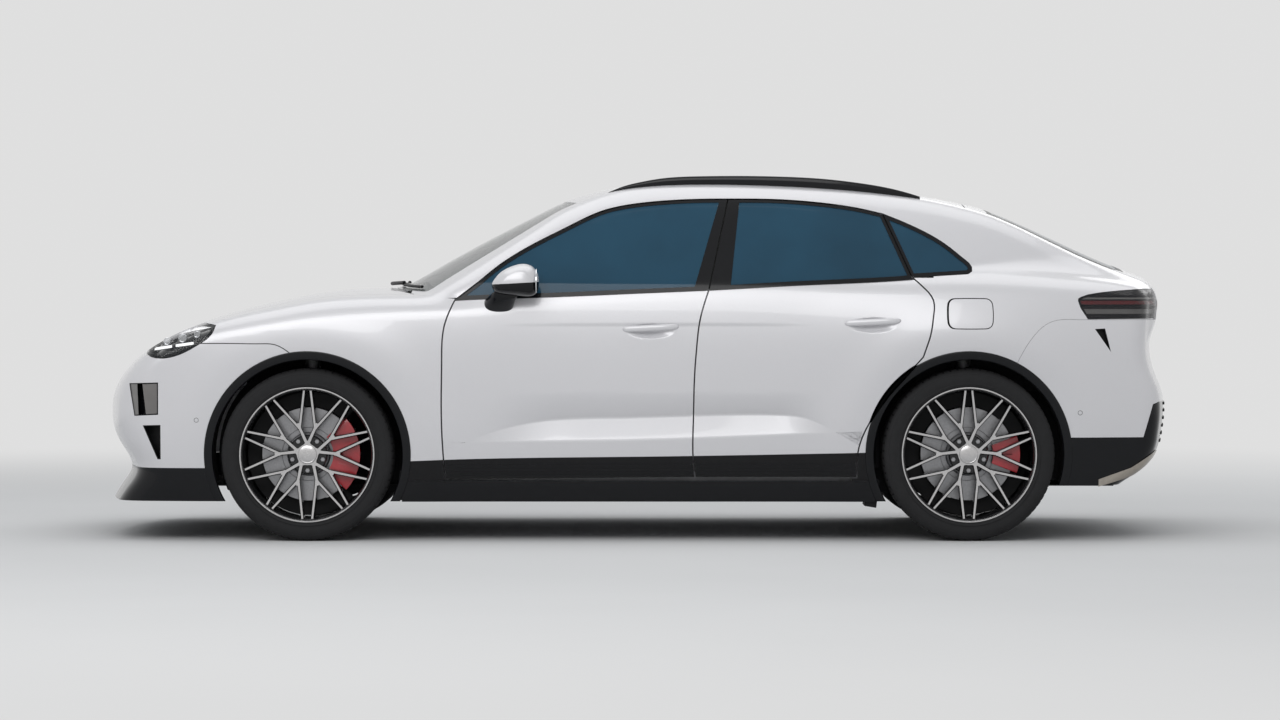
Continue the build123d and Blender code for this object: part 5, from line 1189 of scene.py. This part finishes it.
def tyre_profile(half):
    """The left tyre's section as (out, radius) points: sidewall, shoulder and grooved tread."""
    side = [(14.3, 291.2), (10, 297), (5.5, 302), (2.6, 306), (1.2, 309), (1.6, 311), (3.2, 312.5),
            (3.4, 315), (1.6, 322), (0.4, 331), (0.2, 338), (0.8, 345), (1.6, 349), (3.0, 350),
            (3.0, 352.2), (3.0, 354), (4.6, 357.5), (6.8, 361), (10, 365.5), (15, 369.6), (21, 372.6),
            (29, 374.6), (42, 375.9), (58, 376.6)]
    middle = []
    for y in GROOVES:
        middle += [(y - 5.5, 376.8), (y - 4.3, 369.4), (y + 4.3, 369.4), (y + 5.5, 376.8),
                   (y + 23, TYRE_RADIUS)]
    middle = [p for p in middle[:-1] if abs(p[0]) < half - 40]
    left = [(gone - half, r) for gone, r in side if gone - half < -abs(middle[-1][0]) - 1]
    return left + middle + [(-y, r) for y, r in reversed(left)]


def tyre_mesh(end):
    half = TYRE_WIDTH[end] / 2 - 0.3
    p = np.array(tyre_profile(half))
    out, radius = p.T
    within = np.tile([0.0, 0.05, 0.17, 0.22, 0.6], PITCHES)
    sunk_in = np.tile([0.0, 1.0, 1.0, 0.0, 0.0], PITCHES)
    turn = (np.repeat(np.arange(PITCHES), 5) + within) / PITCHES * 2 * math.pi
    slots = np.where((np.abs(out) > 80) & (np.abs(out) < half - 12), 5.5, 0.0)
    slots = np.where((np.abs(out) < 66) & (np.abs(out) > 34), 4.0, slots)
    slots = np.where(radius < 371, 0.0, slots)
    r = radius - sunk_in[:, None] * slots
    a = turn[:, None] + 0.035 * np.sin(out / half * 2.2)
    rings = np.stack([r * np.cos(a), np.broadcast_to(out, r.shape), r * np.sin(a)], -1)
    return dress(swept("tyre", on_wheel(end, rings), closed=True), RUBBER)


for end in AXLE_X:
    tyre = tyre_mesh(end)
    wheel = joined(f"{end}_wheel", wheel_face(end), wheel_barrel(end), wheel_middle(end), brake_disc(end))
    brake = joined("brake", caliper(end, CALIPER_SWEEP[end]), dust_shield(end, CALIPER_SWEEP[end]))
    for piece, stem, node_stem, angle in ((tyre, "tyre_tread", "tyre", 32), (wheel, "rim_face", "rim", 25),
                                          (brake, "caliper", None, 30)):
        for side, part in pair(piece, f"{end}_{stem}", lambda each: soften(each, angle)).items():
            if node_stem:
                place(part, f"{end}_wheel_{side}", f"{end}_{node_stem}_{side}")
            else:
                place(part, f"front_knuckle_{side}" if end == "front" else "chassis")

# ------------------------------------------------------------------ arch trims and roof rails
TRIM_PROUD = 4.0
LINER_OUTER = 890.0
ARCH_ENDS = {"front": (-30.0, 210.0), "rear": (-22.0, 210.0)}
ARCH_FOOT = [(-CUT_END, 172), (1450, 172), (1450, 243), (CUT_END, 243), (CUT_END, CUT_END),
             (-CUT_END, CUT_END)]
ARCH_SECTION = [(453.0, -6), (452.8, 1.0), (451.4, 3.2), (448, TRIM_PROUD), (432, TRIM_PROUD + 0.6),
                (420, TRIM_PROUD), (417, 2.4), (415.4, -1.0), (415.2, -12), (419, -16), (440, -14)]
ARCH_LIP = [(415.3, -8.0), (415.3, -70.0), (419, -70.0), (419, -8.0)]


def hoop(name, end, section, least, look, *cuts):
    """A section of (radius, proud of the body) points swept round a wheel arch."""
    turn = np.radians(np.linspace(*ARCH_ENDS[end], 110))[:, None]
    r, proud = np.array(section).T
    x = AXLE_X[end] + r * np.cos(turn)
    z = HUB_Z + r * np.sin(turn)
    y = np.minimum(-half_width(x, z) - proud, -least)
    return soften(dress(carved(swept(name, np.stack([x, y, z], -1)), *cuts), look), 50)


for end in ARCH_ENDS:
    door = drop(FRONT_DOOR) if end == "front" else drop(shifted(REAR_DOOR, PANEL_GAP))
    trim = hoop(f"{end}_arch_trim", end, ARCH_SECTION, 0, GLOSS_BLACK, door, keep(ARCH_FOOT))
    lip = hoop(f"{end}_arch_lip", end, ARCH_LIP, LINER_OUTER, GRAINED_BLACK, keep(ARCH_FOOT))
    place(soften(both_sides(joined(f"{end}_arch", trim, lip)), 50), "chassis",
          *(["arch_trims"] if end == "front" else []))

RAIL_Y = 598.0
RAIL_TOP = curve((-134, 1530), (-77, 1554), (12, 1578), (102, 1594), (280, 1604.5), (458, 1606), (636, 1603),
                 (814, 1594), (992, 1574), (1170, 1540), (1264, 1512))
RAIL_SECTION = [(-13, 0.0), (-14, 0.5), (-13.4, 0.86), (-9.5, 0.985), (-3, 1.0), (4, 0.985), (10.5, 0.90),
                (13.6, 0.7), (14, 0.3), (13, 0.0)]
station = np.linspace(-128, 1258, 110)
low_line = top_wall(station, np.full_like(station, RAIL_Y))[:, 2] - 6
high_line = np.maximum(RAIL_TOP(station) - 0.4, low_line + 3)
rail_rings = [[(x, aside - RAIL_Y, low + (high - low) * share) for aside, share in RAIL_SECTION]
              for x, low, high in zip(station, low_line, high_line)]
rail = soften(dress(swept("roof_rail", rail_rings), GLOSS_BLACK), 55)
place(soften(both_sides(rail), 55), "chassis", "roof_rails")

# ------------------------------------------------------------------ mirrors
MIRROR_SHAPE = [(-641, 1112), (-622, 1152), (-586, 1186), (-540, 1207), (-492, 1216), (-452, 1204),
                (-428, 1174), (-421, 1130), (-425, 1094), (-440, 1073), (-500, 1066), (-580, 1072),
                (-628, 1088)]
MIRROR_MIDDLE = (-520.0, 1138.0)
MIRROR_SPAN = (947, 1071.5)
MIRROR_UNDERSIDE = [(-700, 1118), (-650, 1120), (-560, 1124), (-490, 1128), (-420, 1132), (-380, 1134),
                    (-380, 1000), (-700, 1000)]
MIRROR_PANE = [(958, 1100), (956, 1150), (972, 1184), (1030, 1180), (1052, 1150), (1046, 1098), (1000, 1084)]


def egg(points, count=56):
    """A closed soft outline through a few points, evenly spaced."""
    p = np.array(points + points[:3], float)
    run = np.concatenate([[0], np.cumsum(np.hypot(*np.diff(p, axis=0).T))])
    at = np.linspace(run[1], run[len(points) + 1], count, endpoint=False)
    return np.stack([curve(*zip(run, p[:, 0]))(at), curve(*zip(run, p[:, 1]))(at)], -1)


def mirror_head():
    """The mirror's head, hollowed for its pane and drawn in where it closes."""
    shape = egg(MIRROR_SHAPE)
    low, high = MIRROR_SPAN
    rings = []
    for t in np.linspace(0, 1, 20).tolist():
        size = (1 - max(0.0, t - 0.30) ** 2.0 * 1.6) ** 0.5 * (1 - 0.16 * (1 - t) ** 2)
        at = MIRROR_MIDDLE + (shape - MIRROR_MIDDLE) * size
        rings.append([(x, -(low + (high - low) * t), z) for x, z in at.tolist()])
    head = carved(swept("mirror_head", rings), drop(oblong(958, 1082, 1052, 1190), "x", -440, -300))
    return parted(head, MIRROR_UNDERSIDE, "y", GLOSS_BLACK, PAINT)


def mirror_stalk():
    """The arm from the door to the head, a rounded oblong that thins on its way."""
    rings = []
    for t in np.linspace(0, 1, 16).tolist():
        cx, cz = -606 + 36 * t**1.4, 1030 + 52 * t**1.2
        wide, tall = 66 - 14 * t, 44 - 20 * t
        rings.append([(cx + wide * math.copysign(abs(c) ** 0.8, c), -902 - 96 * t,
                       cz + tall * math.copysign(abs(s) ** 0.8, s)) for c, s in ring((0, 0), 1)])
    return dress(swept("mirror_arm", rings), GLOSS_BLACK)


face = egg(MIRROR_PANE, 40)
head = mirror_head()
pane = dress(swept("mirror_pane", [[(x, -y, z) for y, z in face.tolist()] for x in (-440.5, -437)]),
             MIRROR_FACE)
mirror = joined("mirror", *[soften(part, 50) for part in (head, pane, mirror_stalk())])
for side, part in pair(mirror, "mirror_shape", lambda each: soften(each, 50)).items():
    place(part, f"front_door_{side}", f"mirror_{side}")

# ------------------------------------------------------------------ lights
LAMP_ROWS = rows(-2185, -1835, 9)
panel("headlight_lens", FENDER_WALL, LAMP_ROWS, np.linspace(70, 150, 60), LENS,
      keep(shifted(HEADLIGHT, -LIP)), drop(HOOD_HOLE, "z"), inset=0.6, depth=3, both=True,
      nodes=["headlights"])
lamp_back = sheet("headlight_back", FENDER_WALL, rows(-2185, -1835, 12), np.linspace(70, 150, 40),
                  GLOSS_BLACK, keep(shifted(HEADLIGHT, -1)), drop(HOOD_HOLE, "z"), inset=34, depth=6)
lamp_rim = sheet("headlight_rim", FENDER_WALL, LAMP_ROWS, np.linspace(70, 150, 60), GLOSS_BLACK,
                 keep(shifted(HEADLIGHT, -1)), drop(shifted(HEADLIGHT, -13)), drop(HOOD_HOLE, "z"),
                 inset=1.2, depth=34)
place(soften(both_sides(joined("headlight_house", lamp_back, lamp_rim)), 40), "chassis")

BAR_WIDTH = 12
LIGHT_BARS = [((-2052, 904), (-1985, 918)), ((-1962, 922), (-1868, 938)),
              ((-2120, 838), (-2038, 850)), ((-2020, 853), (-1940, 864))]
LAMP_EYES = [(-2062, 872, 17), (-1990, 886, 19), (-1925, 902, 15)]
lamps = []
for (x0, z0), (x1, z1) in LIGHT_BARS:
    t = np.linspace(0, 1, 14)[:, None]
    across = np.linspace(-0.5, 0.5, 5) * BAR_WIDTH / math.hypot(x1 - x0, z1 - z0)
    x = x0 + (x1 - x0) * t - (z1 - z0) * across
    z = z0 + (z1 - z0) * t + (x1 - x0) * across
    bar = dress(shell_at("headlight_bar", side_wall(x, z, 7), side_wall(x, z, 19)), LAMP_BAR)
    lamps.append(bevelled(bar, 1.5))
for cx, cz, radius in LAMP_EYES:
    face = float(side_wall(np.array([float(cx)]), np.array([float(cz)]))[0, 1])
    rings = [[(x, face + out, z) for x, z in ring((cx, cz), r, 28)]
             for out, r in ((30, radius), (14, radius), (12, radius - 2.5), (19, radius - 4), (19, 1.0))]
    lamps.append(soften(dress(swept("headlight_eye", rings), REFLECTOR), 30))
place(soften(both_sides(joined("headlight_lamps", *lamps)), 40), "chassis")

panel("tail_light_lens", TAIL_WALL, rows(962, 1110, 8), np.linspace(94, 266, 160), SMOKED_LENS,
      keep(shifted(TAIL_LIGHT, -LIP)), drop(LID_HOLE, "z"), inset=0.8, depth=3, nodes=["tail_lights"])
panel("tail_light_back", TAIL_WALL, rows(966, 1106, 14), np.linspace(94, 266, 120), SATIN_BLACK,
      keep(shifted(TAIL_LIGHT, -2)), drop(LID_HOLE, "z"), inset=26, depth=6)
SLATS = [(974, 983, SATIN_BLACK, 4), (992, 1014, LAMP_PALE, 12), (1019, 1026, SATIN_BLACK, 4),
         (1033, 1050, LAMP_RED, 9), (1056, 1064, LAMP_PALE, 4), (1071, 1089, GLOSS_BLACK, 7)]
slats = [bevelled(sheet("slat", TAIL_WALL, np.linspace(low, high, 4), np.linspace(94, 266, 60), look,
                        inset=inset, depth=12), 1.5) for low, high, look, inset in SLATS]
slats = carved(joined("tail_light_slats", *slats), keep(shifted(TAIL_LIGHT, -10)),
               drop(shifted(TAILGATE, 6), "z"))
place(soften(slats, 40), "chassis")

BAND_LOW, BAND_HIGH = np.degrees(np.arctan2(np.array([1012.0, 1054.0]) - LID_Z, 2326 - LID_X))
panel("tailgate_band", LID_WALL, rows(-560, 560, 14), np.linspace(BAND_LOW, BAND_HIGH, 9), GLOSS_BLACK,
      inset=-1.2, depth=6, on="tailgate")
panel("tailgate_band_light", LID_WALL, rows(-552, 552, 14), np.linspace(BAND_LOW + 1.6, BAND_HIGH - 1.6, 6),
      LAMP_RED, inset=-1.6, depth=2, on="tailgate")

# ------------------------------------------------------------------ seats
SEAT_Y = 375.0
SEAT_X = -370.0
BENCH_X = 590.0
SOFT_STEPS = 20
PRESSURE = 4
EDGE = (3, 2, 30)


def seat_shape(start, *points):
    return [(start + x, z) for x, z in points]


def rounded(points, radius=26.0, count=5):
    """A closed outline with its corners rounded."""
    made = []
    for i, corner in enumerate(points):
        here = np.array(corner, float)
        before = np.array(points[i - 1], float) - here
        after = np.array(points[(i + 1) % len(points)], float) - here
        run = min(radius, 0.45 * np.hypot(*before), 0.45 * np.hypot(*after))
        a = here + before / np.hypot(*before) * run
        b = here + after / np.hypot(*after) * run
        for t in np.linspace(0, 1, count).tolist():
            made.append(tuple(((1 - t) ** 2 * a + 2 * t * (1 - t) * here + t * t * b).tolist()))
    return made


def pad(name, side_shape, y_low, y_high):
    """A closed pad: its outline seen from the side, drawn in towards both of its ends."""
    shape = np.array(rounded(side_shape))
    middle = shape.mean(0)
    rings = []
    for t in np.linspace(-1, 1, 15).tolist():
        at = middle + (shape - middle) * (1 - 0.10 * abs(t) ** 4)
        y = (y_low + y_high) / 2 + (y_high - y_low) / 2 * t
        rings.append([(x, y, z) for x, z in at.tolist()])
    return swept(name, rings)


def puffed(piece, cap, voxel=6.0):
    """Padding that has swollen under pressure, held within a cap."""
    step = piece.modifiers.new("remesh", "REMESH")
    step.mode = "VOXEL"
    step.voxel_size = voxel * MM
    applied(piece)
    before = coords(piece)
    cloth = piece.modifiers.new("cloth", "CLOTH")
    cloth.settings.use_pressure = True
    cloth.settings.uniform_pressure_force = PRESSURE
    cloth.settings.effector_weights.gravity = 0
    for moment in range(1, SOFT_STEPS + 1):
        scene.frame_set(moment)
    swell = coords(applied(piece)) - before
    length = np.linalg.norm(swell, axis=1, keepdims=True)
    moved(piece, before + swell * np.minimum(1.0, cap * MM / np.maximum(length, 1e-9)))
    scene.frame_set(1)
    piece.data.shade_smooth()
    return piece


def channels(piece, lines, depth, width, axis):
    """Sewn channels pressed into a pad along lines across one axis."""
    at = coords(piece)
    sink = sum(depth * bell(at[:, axis] / MM - line, width) for line in lines)
    normal = read(piece.data.vertices, "normal", 3)
    return moved(piece, at - normal * np.minimum(sink, depth)[:, None] * MM)


def seated(piece, fill, *nodes):
    """A pad in its leather, riding with the car."""
    dress(piece, LEATHER).data.shade_smooth()
    place(piece, "chassis", *nodes)


CUSHION = seat_shape(SEAT_X, (6, 540), (-4, 612), (60, 636), (250, 616), (410, 600), (415, 528), (60, 512))
BACKREST = seat_shape(SEAT_X, (424, 610), (452, 760), (500, 980), (556, 1176), (612, 1192), (640, 1160),
                      (634, 980), (606, 760), (560, 610))
HEADREST = seat_shape(SEAT_X, (612, 1214), (612, 1330), (640, 1378), (690, 1382), (716, 1340), (704, 1222))
BENCH = seat_shape(BENCH_X, (6, 570), (0, 640), (60, 662), (250, 640), (404, 622), (410, 560), (60, 540))
BENCH_BACK = seat_shape(BENCH_X, (424, 640), (452, 800), (500, 980), (560, 1150), (610, 1160), (560, 960),
                        (520, 800), (500, 640))
BENCH_REST = seat_shape(BENCH_X, (560, 1170), (556, 1250), (584, 1272), (630, 1266), (640, 1190),
                        (610, 1172))
SEAT_SEAMS = [([-SEAT_Y - 118, -SEAT_Y + 118], 7, 7, 1)]
CROSS_SEAMS = ([800, 880, 960, 1040], 3, 5, 2)
BENCH_SEAMS = [([-108, 108, -420, 420], 6, 7, 1), ([BENCH_X + 120, BENCH_X + 210, BENCH_X + 300], 3, 5, 0)]
BACK_SEAMS = [([820, 900, 980, 1060], 3, 5, 2)]
PADS = [("seat_cushion_left", CUSHION, -SEAT_Y - 238.5, -SEAT_Y + 238.5, 24,
         SEAT_SEAMS + [([SEAT_X + 110, SEAT_X + 190, SEAT_X + 270], 3, 5, 0)], 0.75, True,
         ["front_seats"]), ("seat_back_left", BACKREST, -SEAT_Y - 231, -SEAT_Y + 231, 24,
                            SEAT_SEAMS + [CROSS_SEAMS], 0.75, True, []),
        ("seat_headrest_left", HEADREST, -SEAT_Y - 121, -SEAT_Y + 121, 24, [], 0.75, True, []),
        ("bench", BENCH, -508, 508, 20, BENCH_SEAMS, 0.7, False, ["rear_seat"]),
        ("bench_back_left", BENCH_BACK, -533, -122, 20, BACK_SEAMS, 0.7, True, []),
        ("bench_back_middle", BENCH_BACK, -92, 92, 20, BACK_SEAMS, 0.7, False, []),
        ("bench_rest_left", BENCH_REST, -440, -220, 10, [], 0.7, True, [])]
for name, shape, low, high, cap, seams, fill, twice, nodes in PADS:
    piece = puffed(pad(name, shape, low, high), cap)
    for seam in seams:
        channels(piece, *seam)
    if twice:
        seated(mirrored(piece, name.replace("left", "right")), fill)
    seated(piece, fill, *nodes)

SEAT_BASE = seat_shape(SEAT_X, (40, 335), (20, 440), (60, 515), (430, 515), (520, 440), (500, 335))
SEAT_SHELL = seat_shape(SEAT_X, (560, 560), (612, 760), (640, 980), (646, 1150), (656, 1150), (654, 980),
                        (626, 755), (584, 540))
POST_ENDS = seat_shape(SEAT_X, (616, 1150), (655, 1260))
for side, hand in SIDES.items():
    middle = -SEAT_Y * hand
    base = block(f"seat_base_{side}", SEAT_BASE, middle - 205, middle + 205, CABIN, 12, 3, 30)
    seat_back = block(f"seat_shell_{side}", SEAT_SHELL, middle - 196, middle + 196, SATIN_BLACK, 4, 2, 30)
    posts = [dress(swept("post", [[(x, y, z) for x, y in ring((cx, middle + aside), 7, 12)]
                                  for cx, z in POST_ENDS]), DISC_STEEL) for aside in (-60, 60)]
    place(joined(f"seat_frame_{side}", base, seat_back, *posts), "chassis")

# ------------------------------------------------------------------ steering wheel and dashboard
HUB = np.array([-405.0, -SEAT_Y, 965.0])
TILT = math.radians(24.0)
ACROSS = np.array([0.0, 1.0, 0.0])
UPRIGHT = np.array([-math.sin(TILT), 0, math.cos(TILT)])
AXIS = np.array([math.cos(TILT), 0, math.sin(TILT)])
GRIP_RADIUS, GRIP_WIDE, GRIP_THICK = 186, 15, 14.5


def on_column(points):
    """Points given as (right, up, towards the driver) from the steering wheel's middle."""
    p = np.asarray(points, float)
    return HUB + p[..., :1] * ACROSS + p[..., 1:2] * UPRIGHT + p[..., 2:3] * AXIS


def wheel_part(name, shape, low, high, look, *rounding):
    rings = [on_column([(x, z, out) for x, z in shape]) for out in (low, high)]
    return bevelled(dress(swept(name, rings), look), *rounding)


grip = []
for a in np.linspace(0, 2 * math.pi, 90, endpoint=False).tolist():
    flat = 1 - 0.035 * max(0.0, -math.sin(a)) ** 6
    section = [((GRIP_RADIUS + GRIP_WIDE * c) * flat, GRIP_THICK * s) for c, s in ring((0, 0), 1, 18)]
    grip.append(on_column([(r * math.cos(a), r * math.sin(a), out) for r, out in section]))
wheel_parts = [soften(dress(swept("grip", grip, closed=True), LEATHER), 60),
               wheel_part("boss", rounded([(-66, 40), (66, 40), (58, -40), (26, -62), (-26, -62),
                                           (-58, -40)], 22), -24, 6, CABIN, 6, 3, 30)]
for shape in ([(-60, 14), (-60, -16), (-176, -10), (-176, 12)], [(60, 14), (60, -16), (176, -10), (176, 12)],
              [(-18, -56), (18, -56), (14, -172), (-14, -172)]):
    wheel_parts.append(wheel_part("arm", shape, -18, -4, SATIN_BLACK, *EDGE))
place(joined("steering_wheel_shape", *wheel_parts), "steering_wheel", "steering_wheel")

SCREENS = [("cluster_screen", [(-640, 1046), (-636, 1050), (-606, 1128), (-600, 1126), (-604, 1116),
                               (-632, 1046)], -560, -200), ("centre_screen",
                                                            [(-640, 1034), (-636, 1038), (-610, 1118),
                                                             (-602, 1116), (-606, 1106), (-630, 1034)],
                                                            -150, 170),
           ("passenger_screen", [(-640, 1034), (-636, 1038), (-610, 1108), (-602, 1106), (-606, 1096),
                                 (-630, 1034)], 190, 500)]
for name, shape, low, high in SCREENS:
    place(block(name, shape, low, high, SCREEN, *EDGE), "chassis")
vents = []
for y in (-640, -590, 540, 590):
    for z in range(968, 1004, 9):
        vents.append(block("vane", [(-588, z), (-580, z + 1), (-580, z + 3), (-588, z + 3)], y, y + 42,
                           SATIN_BLACK))
place(joined("dash_vents", *vents), "chassis")
place(block("dash_strip", [(-586, 930), (-579, 932), (-580, 944), (-587, 946)], -660, 660, BRONZE),
      "chassis")
panel("headliner_sheet", top_wall, rows(-300, 1430), rows(-540, 540), HEADLINER, inset=40, depth=4)

# ------------------------------------------------------------------ CAD nodes that stay
KEPT = {STEEL: ["body_frame"], CARPET: ["floor_pan"], BATTERY: ["battery_pack"], FELT: ["wheel_liners"],
        GRAINED_BLACK: ["rear_rails", "undertrays", "front_trunk", "cowl_panel", "charge_ports"],
        CAST: ["drive_motors", "front_suspension", "rear_suspension", "front_knuckle_left",
               "front_knuckle_right", "rear_knuckles"],
        CABIN: ["steering_column", "center_console", "dashboard"]}
for look, names in KEPT.items():
    for name in names:
        slots = NODES[name].material_slots
        for each in slots:
            each.material = look
        if not slots:
            NODES[name].data.materials.append(look)

# ------------------------------------------------------------------ studio
BACKDROP = (0.74, 0.74, 0.74)
HALF_FLOOR = 40000
FLOOR_LOOK = material("floor", BACKDROP, 0.9, tone=(0.8, 0.01), Specular_IOR_Level=0.0)
floor = add_mesh("studio_floor", [(x, y, 0) for x, y in oblong(-HALF_FLOOR, -HALF_FLOOR, HALF_FLOOR,
                                                               HALF_FLOOR)], [[0, 1, 2, 3]])
dress(floor, FLOOR_LOOK)
tree = FLOOR_LOOK.node_tree
away = tree.nodes.new("ShaderNodeVectorMath")
away.operation = "LENGTH"
tree.links.new(tree.nodes.new("ShaderNodeTexCoord").outputs["Object"], away.inputs[0])
fade = node(tree, "MapRange", From_Min=3.2, From_Max=11.0, Value=away.outputs["Value"])
fade.interpolation_type = "SMOOTHSTEP"


def mixed(tree, share, first, second, output):
    """A tree's output as two shaders, mixed by a share."""
    choice = tree.nodes.new("ShaderNodeMixShader")
    for socket, source in zip(choice.inputs, (share, first, second)):
        tree.links.new(source, socket)
    tree.links.new(choice.outputs["Shader"], tree.nodes[output].inputs["Surface"])


mixed(tree, fade.outputs["Result"], tree.nodes["Principled BSDF"].outputs["BSDF"],
      node(tree, "Emission", Color=(*BACKDROP, 1)).outputs["Emission"], "Material Output")


def lamp(name, at, target, size, power):
    light = bpy.data.lights.new(name, "AREA")
    light.shape = "RECTANGLE"
    light.size, light.size_y = size
    light.energy = power
    holder = linked(name, light)
    holder.location = at
    holder.rotation_euler = (Vector(target) - Vector(at)).to_track_quat("-Z", "Y").to_euler()


lamp("key", (-2.5, -8.5, 5.6), (0, 0, 0.8), (9, 4), 290)
lamp("overhead", (0, 0.5, 7.0), (0, 0, 0), (10, 6), 165)
lamp("fill", (3.5, 8.5, 5.0), (0, 0, 0.8), (9, 4), 130)

world = bpy.data.worlds.new("studio")
scene.world = world
world.use_nodes = True
tree = world.node_tree
sky = tree.nodes["Background"]
sky.inputs["Color"].default_value = (0.94, 0.97, 1.0, 1)
sky.inputs["Strength"].default_value = 0.46
rays = tree.nodes.new("ShaderNodeLightPath")
seen = rays.outputs["Is Camera Ray"]
for also in ("Is Glossy Ray", "Is Transmission Ray"):
    either = tree.nodes.new("ShaderNodeMath")
    either.operation = "MAXIMUM"
    tree.links.new(seen, either.inputs[0])
    tree.links.new(rays.outputs[also], either.inputs[1])
    seen = either.outputs["Value"]
mixed(tree, seen, sky.outputs["Background"],
      node(tree, "Background", Color=(*BACKDROP, 1), Strength=1.0).outputs["Background"], "World Output")
scene.view_settings.view_transform = "Standard"

camera = linked("camera", bpy.data.cameras.new("camera"))
camera.data.lens = 112.8
camera.data.sensor_width = 36.0
camera.data.clip_end = 200
camera.data.shift_y = -0.0499
camera.location = (0.0125, -18.46, 1.07)
camera.rotation_euler = (math.radians(90), 0, 0)
scene.camera = camera
